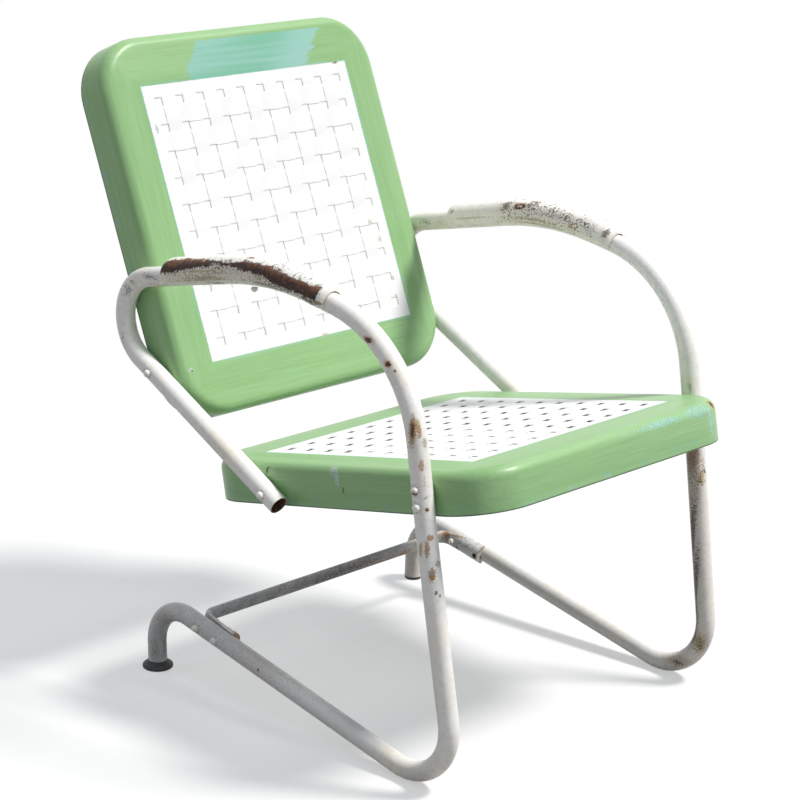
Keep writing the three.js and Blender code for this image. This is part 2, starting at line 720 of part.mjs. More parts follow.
const glideGeometry = footGeometry(GLIDE_RADIUS, GLIDE_HEIGHT, GLIDE_PROFILE_SHARES);
const glide = addMesh('right_foot_glide', glideGeometry, BLACK_RUBBER);
glide.position.x = -halfSpacingAt(GLIDE_HEIGHT);
const plugGeometry = footGeometry(TUBE_RADIUS, PLUG_HEAD_HEIGHT, PLUG_PROFILE_SHARES);
const plug = addMesh('left_foot_plug', plugGeometry, BLACK_RUBBER);
plug.position.x = halfSpacingAt(PLUG_HEAD_HEIGHT);

const studStation = armStation(CAP_STUD_REACH);
const capNut = nutGeometry();
capNut.translate(0, 0, -TUBE_RADIUS - CLEARANCE - NUT_THICKNESS);
const armNut = addMesh('right_arm_cap_nut', tiltToArm(capNut, studStation), BARE_NUT);
armNut.position.x = -SEAT_HALF_SPACING;

// The origin lies on the floor, in the middle of the whole chair
chair.updateMatrixWorld(true);
const bounds = new THREE.Box3().setFromObject(chair, true);
chair.position.y = -(bounds.min.y + bounds.max.y) / 2;

export default chair;
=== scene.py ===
"""Dresses a metal spring lawn chair: bent tube sides, woven pans, arm caps, stretcher, feet and fasteners."""

import json
import logging
import math
from collections.abc import Callable, Iterator
from contextlib import contextmanager
from dataclasses import dataclass, field
from enum import Enum

import bmesh
import bpy
from mathutils import Euler, Matrix, Vector


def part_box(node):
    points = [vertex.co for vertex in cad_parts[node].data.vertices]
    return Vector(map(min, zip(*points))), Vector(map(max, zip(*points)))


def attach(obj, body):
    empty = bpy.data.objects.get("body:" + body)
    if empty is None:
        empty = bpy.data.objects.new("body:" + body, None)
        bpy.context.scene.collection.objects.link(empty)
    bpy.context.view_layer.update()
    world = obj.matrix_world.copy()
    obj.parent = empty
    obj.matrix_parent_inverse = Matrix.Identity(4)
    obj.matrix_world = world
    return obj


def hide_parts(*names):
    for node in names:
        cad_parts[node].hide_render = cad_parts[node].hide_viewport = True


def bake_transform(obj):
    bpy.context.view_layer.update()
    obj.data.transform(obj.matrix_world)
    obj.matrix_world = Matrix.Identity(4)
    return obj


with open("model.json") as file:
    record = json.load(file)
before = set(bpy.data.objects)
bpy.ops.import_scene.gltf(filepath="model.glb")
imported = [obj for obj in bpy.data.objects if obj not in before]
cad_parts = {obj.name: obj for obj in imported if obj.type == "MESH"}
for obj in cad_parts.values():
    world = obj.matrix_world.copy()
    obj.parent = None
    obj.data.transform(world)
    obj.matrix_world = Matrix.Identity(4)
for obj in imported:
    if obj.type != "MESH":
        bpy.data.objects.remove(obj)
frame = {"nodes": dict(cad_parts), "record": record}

LOG = logging.getLogger("lawn_chair")
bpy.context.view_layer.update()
QUARTER = math.pi / 2
PHOTO_PIXELS = 800

# Distances within which points are merged, or lie on a pan's face
MERGED = 1e-6
ON_FACE = 1e-5

Piece = bpy.types.Object
Material = bpy.types.Material
Tree = bpy.types.NodeTree
Node = bpy.types.Node
Socket = bpy.types.NodeSocket
Feeds = dict[int | str, object]
Pair = tuple[float, float]
Triple = tuple[float, float, float]
Station = tuple[float, float, float, float]


class Side(Enum):
    """A side of the chair, named as its sitter names it; the value is its direction along X."""

    RIGHT = -1
    LEFT = 1

    @property
    def label(self) -> str:
        """The side's name as the nodes have it."""
        return self.name.lower()


class Element(Enum):
    """The kinds of mesh element that edit mode selects."""

    VERTEX = "VERT"
    EDGE = "EDGE"
    FACE = "FACE"


# Modelling helpers


def choose(piece: Piece) -> None:
    """Makes a piece the active object and the only one that is selected.

    Args:
        piece: The object that the next step works on.
    """
    bpy.ops.object.select_all(action="DESELECT")
    piece.select_set(True)
    bpy.context.view_layer.objects.active = piece


@contextmanager
def editing(piece: Piece) -> Iterator[None]:
    """Holds one object in edit mode.

    Args:
        piece: The object to edit. Nothing else is selected.

    Returns:
        A context that ends in object mode.
    """
    choose(piece)
    bpy.ops.object.mode_set(mode="EDIT")
    bpy.ops.mesh.select_mode(type=Element.VERTEX.value)
    yield
    bpy.ops.object.mode_set(mode="OBJECT")


def pick(piece: Piece, kind: Element, test: Callable[[object], bool]) -> None:
    """Selects the elements of an edited mesh that pass a test, and no others.

    Args:
        piece: The object in edit mode.
        kind: Which elements are tested.
        test: Says whether an element is selected.
    """
    bpy.ops.mesh.select_mode(type=kind.value)
    bpy.ops.mesh.select_all(action="DESELECT")
    shape = bmesh.from_edit_mesh(piece.data)
    elements = {Element.VERTEX: shape.verts, Element.EDGE: shape.edges, Element.FACE: shape.faces}[kind]
    for element in [element for element in elements if test(element)]:
        element.select_set(True)
    bmesh.update_edit_mesh(piece.data)


def start_piece(name: str) -> Piece:
    """Names the primitive that was just added.

    Args:
        name: The name of the new piece and of its mesh.

    Returns:
        The new piece.
    """
    piece = bpy.context.object
    piece.name = name
    piece.data.name = name
    return piece


def add_modifier(piece: Piece, kind: str, **settings: object) -> None:
    """Adds a modifier to a piece and applies it at once.

    Args:
        piece: The object that gets it.
        kind: Blender's name of the modifier's type.
        settings: The modifier's values.
    """
    choose(piece)
    modifier = piece.modifiers.new(kind.title(), kind)
    for setting, value in settings.items():
        setattr(modifier, setting, value)
    bpy.ops.object.modifier_apply(modifier=modifier.name)


def smooth(piece: Piece, degrees: float) -> None:
    """Shades a piece smooth, with sharp edges past an angle."""
    choose(piece)
    bpy.ops.object.shade_smooth_by_angle(angle=math.radians(degrees))


def face_out(piece: Piece) -> None:
    """Merges a piece's doubled points and turns its faces outwards.

    Args:
        piece: The piece.
    """
    with editing(piece):
        bpy.ops.mesh.select_all(action="SELECT")
        bpy.ops.mesh.remove_doubles(threshold=MERGED)
        bpy.ops.mesh.normals_make_consistent(inside=False)


def face_up(piece: Piece, rank: Callable[[object], float] = lambda face: face.center.z) -> None:
    """Makes the faces of an open piece agree, so that the one with the highest rank looks up.

    Args:
        piece: The piece, whose doubled points are merged too.
        rank: The rank of a face, which is its height if nothing else is given.
    """
    face_out(piece)
    if max(piece.data.polygons, key=rank).normal.z < 0:
        with editing(piece):
            bpy.ops.mesh.select_all(action="SELECT")
            bpy.ops.mesh.flip_normals()


def thicken(piece: Piece, thickness: float, even: bool = False) -> None:
    """Thickens a skin inwards, marks the points of its inner face for the material, and smooths it.

    Args:
        piece: The skin.
        thickness: Its thickness.
        even: Whether the thickness is kept at sharp edges.
    """
    outer = len(piece.data.vertices)
    add_modifier(piece, "SOLIDIFY", thickness=thickness, offset=-1, use_even_offset=even)
    write_numbers(piece, "inner", [float(index >= outer) for index in range(len(piece.data.vertices))])
    smooth(piece, 50)


def extrude(move: Vector | Triple) -> None:
    """Extrudes what is selected in edit mode by a move."""
    bpy.ops.mesh.extrude_region_move(TRANSFORM_OT_translate={"value": move})


def mould(piece: Piece, form: Callable[[Vector], Vector]) -> None:
    """Moves each point of a piece to its place in a form.

    Args:
        piece: The object whose points move.
        form: Gives a point's new place from its old one.
    """
    for vertex in piece.data.vertices:
        vertex.co = form(vertex.co)
    piece.data.update()


def write_numbers(piece: Piece, name: str, numbers: list[float]) -> None:
    """Writes one number to each point of a mesh, for its material to read."""
    attribute = piece.data.attributes.new(name, "FLOAT", "POINT")
    attribute.data.foreach_set("value", numbers)


def copy_of(piece: Piece, name: str, place: Matrix) -> Piece:
    """Copies a piece with its own mesh, and puts the copy in its place.

    Args:
        piece: The model of the copy.
        name: The copy's name.
        place: Where the copy goes, from the model's own axes.

    Returns:
        The copy, whose object stays at the origin.
    """
    copy = bpy.data.objects.new(name, piece.data.copy())
    copy.data.name = name
    bpy.context.collection.objects.link(copy)
    copy.data.transform(place)
    return copy


def scrap(piece: Piece) -> None:
    """Removes a model that only its copies stand for."""
    bpy.data.objects.remove(piece, do_unlink=True)


def turned(name: str, profile: list[Pair], sides: int) -> Piece:
    """Turns a solid about Z: a filled circle, then ring after ring extruded and scaled.

    Args:
        name: The name of the piece.
        profile: Radius and height of each ring. The last radius may be zero.
        sides: How many sides a ring has.

    Returns:
        The closed solid.
    """
    radius, height = profile[0]
    bpy.ops.mesh.primitive_circle_add(vertices=sides, radius=radius, fill_type="NGON", location=(0, 0, 0))
    piece = start_piece(name)
    piece.data.transform(Matrix.Translation((0, 0, height)))
    with editing(piece):
        bpy.ops.mesh.select_all(action="SELECT")
        for next_radius, next_height in profile[1:]:
            rise = next_height - height
            extrude((0, 0, rise))
            if next_radius:
                share = next_radius / radius
                centre = (0, 0, next_height)
                bpy.ops.transform.resize(value=(share, share, 1), center_override=centre)
            else:
                bpy.ops.mesh.merge(type="CENTER")
            radius, height = next_radius, next_height
    face_out(piece)
    return piece


# Frame tube


@dataclass(frozen=True)
class Place:
    """A place in a side plane: the reach forward of the rear foot and the height above the floor."""

    reach: float
    height: float

    def onward(self, heading: float, distance: float) -> "Place":
        """The place a distance on; a heading is counted from forward towards up."""
        return Place(self.reach + distance * math.cos(heading), self.height + distance * math.sin(heading))

    def heading_to(self, other: "Place") -> float:
        """The heading from here to another place."""
        return math.atan2(other.height - self.height, other.reach - self.reach)

    def distance_to(self, other: "Place") -> float:
        """The distance from here to another place."""
        return math.hypot(other.reach - self.reach, other.height - self.height)


def crossing(one: Place, one_heading: float, two: Place, two_heading: float) -> Place:
    """Where two lines of the side plane cross.

    Args:
        one: A place on the first line.
        one_heading: The first line's heading.
        two: A place on the second line.
        two_heading: The second line's heading.

    Returns:
        The place on both lines.
    """
    reach = two.reach - one.reach
    height = two.height - one.height
    along = reach * math.sin(two_heading) - height * math.cos(two_heading)
    return one.onward(one_heading, along / math.sin(two_heading - one_heading))


@dataclass(frozen=True)
class Stretch:
    """A straight or evenly bent stretch of tube. A straight stretch has no radius."""

    start: Place
    heading: float
    length: float
    radius: float = 0.0
    turn: float = 0.0

    def at(self, distance: float) -> tuple[Place, float]:
        """The place and heading at a distance along the stretch.

        Args:
            distance: The distance from its start.

        Returns:
            The place and the heading.
        """
        if not self.radius:
            return self.start.onward(self.heading, distance), self.heading
        heading = self.heading + self.turn * distance / self.length
        hand = math.copysign(QUARTER, self.turn)
        centre = self.start.onward(self.heading + hand, self.radius)
        return centre.onward(heading - hand, self.radius), heading


@dataclass(frozen=True)
class FrameLine:
    """The centreline that both side frames are bent to."""

    contact_reach: float = 0.4644
    runner_fall: float = math.radians(11.57)
    foot_bend_radius: float = 0.0565
    front_bend_radius: float = 0.0709
    leg_lean: float = math.radians(9.33)
    arm_front_height: float = 0.544
    arm_front_bend_radius: float = 0.1667
    arm_crest: Place = Place(0.2355, 0.586)
    arm_crest_bend_radius: float = 0.416
    arm_fall: float = math.radians(11.77)
    loop_bend_radius: float = 0.0589
    loop_reach_behind: float = 0.0458
    diagonal_fall: float = math.radians(27.29)
    diagonal_reach: float = 0.2454
    tube_radius: float = 0.0127
    floor_half_spacing: float = 0.245
    seat_half_spacing: float = 0.2523
    draw_in_height: float = 0.32
    leg_number: int = 4
    halvings: int = 40

    @property
    def leg_heading(self) -> float:
        """The heading of the front legs, upwards."""
        return QUARTER + self.leg_lean

    def runner_rear(self) -> Place:
        """The sharp corner above the rear foot."""
        front = self.contact_reach - self.front_bend_radius * math.tan(self.runner_fall / 2)
        return Place(0, self.tube_radius + front * math.tan(self.runner_fall))

    def leg_top(self) -> Place:
        """The sharp corner between the leg and the arm.

        Returns:
            The corner.
        """
        reach = self.contact_reach + self.front_bend_radius * math.tan(self.leg_heading / 2)
        rise = self.arm_front_height - self.tube_radius
        return Place(reach, self.tube_radius).onward(self.leg_heading, rise / math.cos(self.leg_lean))

    def loop_corners(self) -> tuple[Place, Place]:
        """The sharp corner of the rear loop, and the open end of the diagonal.

        Returns:
            The corner and the end.
        """
        rear = math.pi + self.arm_fall
        centre_reach = self.loop_bend_radius - self.loop_reach_behind
        above = crossing(self.arm_crest, rear, Place(centre_reach, 0), QUARTER)
        centre = Place(centre_reach, above.height - self.loop_bend_radius / math.cos(self.arm_fall))
        tangent = centre.onward(-self.diagonal_fall - QUARTER, self.loop_bend_radius)
        corner = crossing(self.arm_crest, rear, tangent, -self.diagonal_fall)
        length = (self.diagonal_reach - tangent.reach) / math.cos(self.diagonal_fall)
        return corner, tangent.onward(-self.diagonal_fall, length)

    def stretches(self, foot_height: float) -> list[Stretch]:
        """The whole tube from its rear foot to the open end of its diagonal.

        Args:
            foot_height: The height of the tube's lower end above the floor.

        Returns:
            Straight and bent stretches in turn.
        """
        rear = self.runner_rear()
        leg_top = self.leg_top()
        front = crossing(rear, -self.runner_fall, leg_top, self.leg_heading)
        loop, end = self.loop_corners()
        corners = [Place(0, foot_height), rear, front, leg_top, self.arm_crest, loop, end]
        radii = [self.foot_bend_radius, self.front_bend_radius, self.arm_front_bend_radius]
        radii += [self.arm_crest_bend_radius, self.loop_bend_radius]
        run: list[Stretch] = []
        start = corners[0]
        for before, corner, after, radius in zip(corners, corners[1:], corners[2:], radii):
            heading = before.heading_to(corner)
            turn = math.remainder(corner.heading_to(after) - heading, math.tau)
            tangent = radius * math.tan(abs(turn) / 2)
            run.append(Stretch(start, heading, start.distance_to(corner) - tangent))
            start = corner.onward(heading, -tangent)
            run.append(Stretch(start, heading, radius * abs(turn), radius, turn))
            start = corner.onward(heading + turn, tangent)
        run.append(Stretch(start, start.heading_to(end), start.distance_to(end)))
        return run

    def half_spacing(self, place: Place) -> float:
        """Half the distance between the two frames at a place of their line.

        Args:
            place: The place.

        Returns:
            The distance from the chair's middle plane.
        """
        if place.reach < self.diagonal_reach + self.tube_radius and place.height > self.draw_in_height / 2:
            return self.seat_half_spacing
        share = min(max(place.height / self.draw_in_height, 0.0), 1.0)
        return self.floor_half_spacing + (self.seat_half_spacing - self.floor_half_spacing) * share

    def arm_at(self, reach: float) -> tuple[Place, float]:
        """The place and heading of the arm's centreline at a reach.

        Args:
            reach: The reach forward of the rear foot.

        Returns:
            The place, and the heading, which runs to the rear.
        """
        for stretch in self.stretches(self.tube_radius)[self.leg_number:]:
            end, _ = stretch.at(stretch.length)
            if end.reach <= reach <= stretch.start.reach:
                low, high = 0.0, stretch.length
                for _ in range(self.halvings):
                    middle = (low + high) / 2
                    if stretch.at(middle)[0].reach > reach:
                        low = middle
                    else:
                        high = middle
                return stretch.at(low)
        raise ValueError(f"the arm has no reach of {reach}")


LINE = FrameLine()
FOOT_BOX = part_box("left_foot_plug")
FOOT_Y = (FOOT_BOX[0].y + FOOT_BOX[1].y) / 2


def in_space(across: float, place: Place) -> Vector:
    """A place of the side plane as a point of the chair, at a distance across."""
    return Vector((across, FOOT_Y - place.reach, place.height))


# Shader trees


class Graph:
    """A shader tree that is being wired."""

    def __init__(self, tree: Tree) -> None:
        """Takes over an empty tree."""
        self.tree = tree

    def feed(self, socket: Socket, value: object) -> None:
        """Links a socket to a source, or sets its number, vector or colour.

        Args:
            socket: The socket that is fed.
            value: The source, or the number, vector or colour.
        """
        if isinstance(value, Socket):
            self.tree.links.new(value, socket)
        else:
            socket.default_value = value

    def node(self, kind: str, feeds: Feeds | None = None, **settings: object) -> Node:
        """Adds a node, makes its settings and feeds its sockets.

        Args:
            kind: The kind of node, such as Mix.
            feeds: What the sockets get, by their names or numbers.
            settings: The node's settings.

        Returns:
            The new node.
        """
        node = self.tree.nodes.new("ShaderNode" + kind)
        for setting, value in settings.items():
            setattr(node, setting, value)
        for socket, value in (feeds or {}).items():
            self.feed(node.inputs[socket], value)
        return node

    def math(self, operation: str, one: object, two: object = 0.0, clamp: bool = False) -> Socket:
        """Works out a number from one or two others."""
        return self.node("Math", {0: one, 1: two}, operation=operation, use_clamp=clamp).outputs[0]

    def plus(self, one: object, two: object) -> Socket:
        """Adds two numbers."""
        return self.math("ADD", one, two)

    def minus(self, one: object, two: object, clamp: bool = False) -> Socket:
        """Takes the second number from the first."""
        return self.math("SUBTRACT", one, two, clamp)

    def times(self, one: object, two: object) -> Socket:
        """Multiplies two numbers."""
        return self.math("MULTIPLY", one, two)

    def most(self, one: object, two: object) -> Socket:
        """The greater of two numbers."""
        return self.math("MAXIMUM", one, two)

    def vector(self, operation: str, one: object, two: object) -> Socket:
        """Works out a vector from two others."""
        return self.node("VectorMath", {0: one, 1: two}, operation=operation).outputs[0]

    def length(self, vector: object) -> Socket:
        """The length of a vector."""
        return self.node("VectorMath", {0: vector}, operation="LENGTH").outputs["Value"]

    def join(self, across: object, along: object, out: object = 0.0) -> Socket:
        """A vector of three parts."""
        return self.node("CombineXYZ", {0: across, 1: along, 2: out}).outputs[0]

    def split(self, vector: object) -> tuple[Socket, Socket, Socket]:
        """The three parts of a vector."""
        parts = self.node("SeparateXYZ", {0: vector}).outputs
        return parts[0], parts[1], parts[2]

    def mix(self, share: object, one: object, two: object) -> Socket:
        """Mixes two colours by a share."""
        return self.node("Mix", {"Factor": share, 6: one, 7: two}, data_type="RGBA").outputs[2]

    def blend(self, share: object, one: object, two: object) -> Socket:
        """Mixes two numbers by a share."""
        return self.node("Mix", {"Factor": share, 2: one, 3: two}, data_type="FLOAT").outputs[0]

    def noise(self, where: object, scale: object, detail: float = 3.0, roughness: float = 0.55) -> Socket:
        """Noise between 0 and 1 at a place."""
        feeds = {"Vector": where, "Scale": scale, "Detail": detail, "Roughness": roughness}
        return self.node("TexNoise", feeds).outputs["Fac"]

    def ramp(self, value: object, low: object, high: object, kind: str = "SMOOTHSTEP") -> Socket:
        """Rises from 0 at low to 1 at high, smoothly if no other kind is named; low may lie above high."""
        feeds = {"Value": value, "From Min": low, "From Max": high}
        return self.node("MapRange", feeds, interpolation_type=kind).outputs["Result"]

    def curve(self, value: Socket, points: list[Pair]) -> Socket:
        """Follows a smooth curve.

        Args:
            value: Where on the curve, from 0 to 1.
            points: The points that the curve runs through.

        Returns:
            The curve's height there.
        """
        node = self.node("FloatCurve", {"Value": value})
        line = node.mapping.curves[0]
        line.points[0].location = points[0]
        line.points[1].location = points[-1]
        for point in points[1:-1]:
            line.points.new(*point)
        node.mapping.update()
        return node.outputs[0]

    def group(self, tree: Tree, **values: object) -> Node:
        """Places a group and feeds its named inputs; an underscore stands for a space."""
        feeds = {name.replace("_", " "): value for name, value in values.items()}
        return self.node("Group", feeds, node_tree=tree)

    def shown_rays(self) -> Socket:
        """Finds the rays that show a thing to the camera, straight or by glass or gloss.

        Returns:
            One for such a ray, and zero for one that only lights.
        """
        path = self.node("LightPath").outputs
        straight = self.most(path["Is Camera Ray"], path["Is Transmission Ray"])
        return self.most(straight, path["Is Glossy Ray"])

    def mix_shaders(self, share: object, one: Node, two: Node) -> Socket:
        """Mixes two shaders by a share."""
        return self.node("MixShader", {0: share, 1: one.outputs[0], 2: two.outputs[0]}).outputs[0]


class Effect:
    """A shader effect that several materials share, wired once as a node group."""

    def __init__(self, name: str, inputs: dict[str, object], outputs: dict[str, str]) -> None:
        """Makes the group with its sockets.

        Args:
            name: The group's name.
            inputs: Each input's name and default: a number, or a tuple for a vector.
            outputs: Each output's name and socket type.
        """
        self.tree = bpy.data.node_groups.new(name, "ShaderNodeTree")
        for label, value in inputs.items():
            kind = "NodeSocketVector" if isinstance(value, tuple) else "NodeSocketFloat"
            socket = self.tree.interface.new_socket(label, in_out="INPUT", socket_type=kind)
            socket.default_value = value
        for label, kind in outputs.items():
            self.tree.interface.new_socket(label, in_out="OUTPUT", socket_type=kind)
        self.graph = Graph(self.tree)
        self.given = self.tree.nodes.new("NodeGroupInput").outputs
        self.result = self.tree.nodes.new("NodeGroupOutput").inputs

    def put_out(self, **values: object) -> Tree:
        """Links the outputs by name and hands over the finished group.

        Args:
            values: The source of each output.

        Returns:
            The group.
        """
        for name, value in values.items():
            self.graph.feed(self.result[name], value)
        return self.tree


ORIGIN = (0.0, 0.0, 0.0)


def rust_effect() -> Tree:
    """Rust that runs from near black over brown to orange, with its own roughness.

    Returns:
        The group.
    """
    effect = Effect(
        "rust",
        {"Vector": ORIGIN, "Scale": 160.0, "Orange": 0.4},
        {"Color": "NodeSocketColor", "Roughness": "NodeSocketFloat"},
    )
    graph, given = effect.graph, effect.given
    coarse = graph.noise(given["Vector"], given["Scale"], 5.0, 0.65)
    fine = graph.noise(given["Vector"], graph.times(given["Scale"], 6.0), 3.0, 0.6)
    dark = graph.ramp(coarse, 0.38, 0.6)
    brown = graph.mix(dark, (0.165, 0.075, 0.045, 1), (0.032, 0.019, 0.015, 1))
    glow = graph.times(graph.ramp(fine, 0.45, 0.75), given["Orange"])
    colour = graph.mix(glow, brown, (0.36, 0.115, 0.028, 1))
    return effect.put_out(Color=colour, Roughness=graph.blend(fine, 0.75, 0.95))


def chips_effect() -> Tree:
    """Chipped paint: ragged islands whose share of the surface is the amount.

    Returns:
        The group.
    """
    effect = Effect(
        "paint_chips",
        {"Vector": ORIGIN, "Scale": 60.0, "Amount": 0.2, "Ragged": 0.35},
        {"Mask": "NodeSocketFloat", "Edge": "NodeSocketFloat"},
    )
    graph, given = effect.graph, effect.given
    broad = graph.noise(given["Vector"], given["Scale"], 2.0)
    ragged = graph.noise(given["Vector"], graph.times(given["Scale"], 7.0), 4.0, 0.65)
    value = graph.blend(given["Ragged"], broad, ragged)
    limit = graph.minus(0.78, graph.times(given["Amount"], 0.5))
    mask = graph.ramp(value, limit, graph.plus(limit, 0.012))
    wide = graph.ramp(value, graph.minus(limit, 0.025), limit)
    return effect.put_out(Mask=mask, Edge=graph.minus(wide, mask, clamp=True))


def spot_effect() -> Tree:
    """A frayed spot round a point of the surface, as long and wide as its size says.

    Returns:
        The group.
    """
    effect = Effect(
        "spot",
        {"Vector": ORIGIN, "Centre": ORIGIN, "Size": (0.01,) * 3, "Fray": 0.5, "Soft": 0.12, "Sparse": 0.0},
        {"Mask": "NodeSocketFloat", "Halo": "NodeSocketFloat"},
    )
    graph, given = effect.graph, effect.given
    offset = graph.vector("SUBTRACT", given["Vector"], given["Centre"])
    reach = graph.length(graph.vector("DIVIDE", offset, given["Size"]))
    frayed = graph.plus(reach, graph.times(graph.minus(given["Fray"], 0.5), 3.2))
    frayed = graph.plus(frayed, given["Sparse"])
    inner = graph.minus(1.0, given["Soft"])
    outer = graph.plus(1.0, given["Soft"])
    halo = graph.ramp(frayed, graph.plus(outer, 0.9), 1.0)
    return effect.put_out(Mask=graph.ramp(frayed, outer, inner), Halo=halo)


def brush_effect() -> Tree:
    """Brush marks of hand-laid paint, drawn out along Y of the given vector.

    Returns:
        The group.
    """
    effect = Effect(
        "brush_marks",
        {"Vector": ORIGIN, "Scale": 420.0, "Stretch": 0.03},
        {"Value": "NodeSocketFloat", "Broad": "NodeSocketFloat"},
    )
    graph, given = effect.graph, effect.given
    drawn = graph.vector("MULTIPLY", given["Vector"], graph.join(1.0, given["Stretch"], 1.0))
    fine = graph.noise(drawn, given["Scale"], 3.0, 0.6)
    broad = graph.noise(drawn, graph.times(given["Scale"], 0.16), 2.0)
    return effect.put_out(Value=fine, Broad=broad)


def speckle_effect() -> Tree:
    """Fine dirt specks, more of them where the amount rises.

    Returns:
        The group.
    """
    effect = Effect(
        "speckles",
        {"Vector": ORIGIN, "Scale": 700.0, "Amount": 0.3},
        {"Mask": "NodeSocketFloat"},
    )
    graph, given = effect.graph, effect.given
    fine = graph.noise(given["Vector"], given["Scale"], 2.0, 0.5)
    drift = graph.noise(given["Vector"], graph.times(given["Scale"], 0.12), 2.0)
    value = graph.plus(graph.times(fine, 0.7), graph.times(drift, 0.3))
    limit = graph.minus(0.72, graph.times(given["Amount"], 0.3))
    return effect.put_out(Mask=graph.ramp(value, limit, graph.plus(limit, 0.04)))


@dataclass
class EffectShelf:
    """The effects that the finishes share."""

    rust: Tree = field(default_factory=rust_effect)
    chips: Tree = field(default_factory=chips_effect)
    spot: Tree = field(default_factory=spot_effect)
    brush: Tree = field(default_factory=brush_effect)
    speckles: Tree = field(default_factory=speckle_effect)


Colour = tuple[float, float, float, float]

TAN: Colour = (0.5, 0.34, 0.11, 1)
RUSTY: Colour = (0.52, 0.27, 0.07, 1)
OCHRE: Colour = (0.5, 0.19, 0.02, 1)
OLIVE: Colour = (0.24, 0.195, 0.045, 1)
DIRT: Colour = (0.055, 0.042, 0.036, 1)
# Painted shade: a blue-grey laid over the right runner and the stretcher to darken them as if shaded.
PAINTED_SHADE_BLUE: Colour = (0.18, 0.205, 0.27, 1)
DARK_RUST: Colour = (0.12, 0.06, 0.03, 1)
LEG_RUST: Colour = (0.12, 0.075, 0.035, 1)
BEND_RUST: Colour = (0.1, 0.07, 0.03, 1)
# Painted shade: near black round the far flange's empty hole and on the tube seen through it.
HOLE_SHADE: Colour = (0.012, 0.01, 0.01, 1)
WORN_CORNER: Colour = (0.62, 0.77, 0.7, 1)
YELLOWING: Colour = (0.95, 0.8, 0.5, 1)
PALE_TURQUOISE: Colour = (0.38, 0.67, 0.62, 1)


@dataclass(frozen=True)
class Spot:
    """A worn spot, in metres, with its size along each axis.

    A spot without a colour is bare rust, and a sparse one breaks up into specks.
    """

    centre: Triple
    size: Triple
    colour: Colour | None = None
    strength: float = 0.85
    soft: float = 0.15
    sparse: float = 0.0


class Finish:
    """A material under construction, with its shader and its object coordinates."""

    def __init__(self, name: str, shelf: EffectShelf) -> None:
        """Makes the material with one Principled shader.

        Args:
            name: The material's name.
            shelf: The shared effects.
        """
        self.material = bpy.data.materials.new(name)
        self.material.use_nodes = True
        tree = self.material.node_tree
        tree.nodes.clear()
        self.shelf = shelf
        self.graph = Graph(tree)
        self.shader = self.graph.node("BsdfPrincipled")
        self.output = self.graph.node("OutputMaterial", {"Surface": self.shader.outputs[0]})
        coordinates = self.graph.node("TexCoord")
        self.where = coordinates.outputs["Object"]
        self.normal = coordinates.outputs["Normal"]

    def set(self, **values: object) -> None:
        """Feeds the shader's sockets by name; an underscore stands for a space."""
        for name, value in values.items():
            self.graph.feed(self.shader.inputs[name.replace("_", " ")], value)

    def attribute(self, name: str) -> Socket:
        """The number that the mesh carries under a name."""
        return self.graph.node("Attribute", attribute_name=name).outputs["Fac"]

    def bump(self, height: Socket, strength: float, distance: float) -> None:
        """Gives the surface a relief of a height in metres."""
        feeds = {"Strength": strength, "Distance": distance, "Height": height}
        self.set(Normal=self.graph.node("Bump", feeds).outputs[0])

    def wear(
        self, spots: tuple[Spot, ...], where: Socket, fray: Socket, paint: Socket
    ) -> tuple[Socket, object]:
        """Lays spots over a paint.

        Args:
            spots: The spots, which share one fraying noise.
            where: The coordinates that their places are given in.
            fray: The fraying noise.
            paint: The colour of the paint below.

        Returns:
            The stained paint, and the mask of the spots that are bare rust.
        """
        bare: object = 0.0
        speckle = self.graph.noise(where, 850.0, 3.0, 0.7)
        grain = self.graph.ramp(speckle, 0.36, 0.52)
        pits = self.graph.ramp(speckle, 0.5, 0.57)
        for spot in spots:
            node = self.graph.group(
                self.shelf.spot,
                Vector=where,
                Centre=spot.centre,
                Size=spot.size,
                Fray=fray,
                Soft=spot.soft,
                Sparse=spot.sparse,
            )
            mask = node.outputs[0]
            if spot.colour is None:
                bare = self.graph.most(bare, mask)
                paint = self.graph.mix(self.graph.times(node.outputs["Halo"], 0.6), paint, RUSTY)
            else:
                dark = tuple(part * 0.35 for part in spot.colour[:3]) + (1,)
                tint = self.graph.mix(pits, spot.colour, dark)
                cover = self.graph.blend(grain, spot.strength * 0.55, spot.strength)
                share = self.graph.times(mask, cover)
                paint = self.graph.mix(share, paint, tint)
        return paint, bare


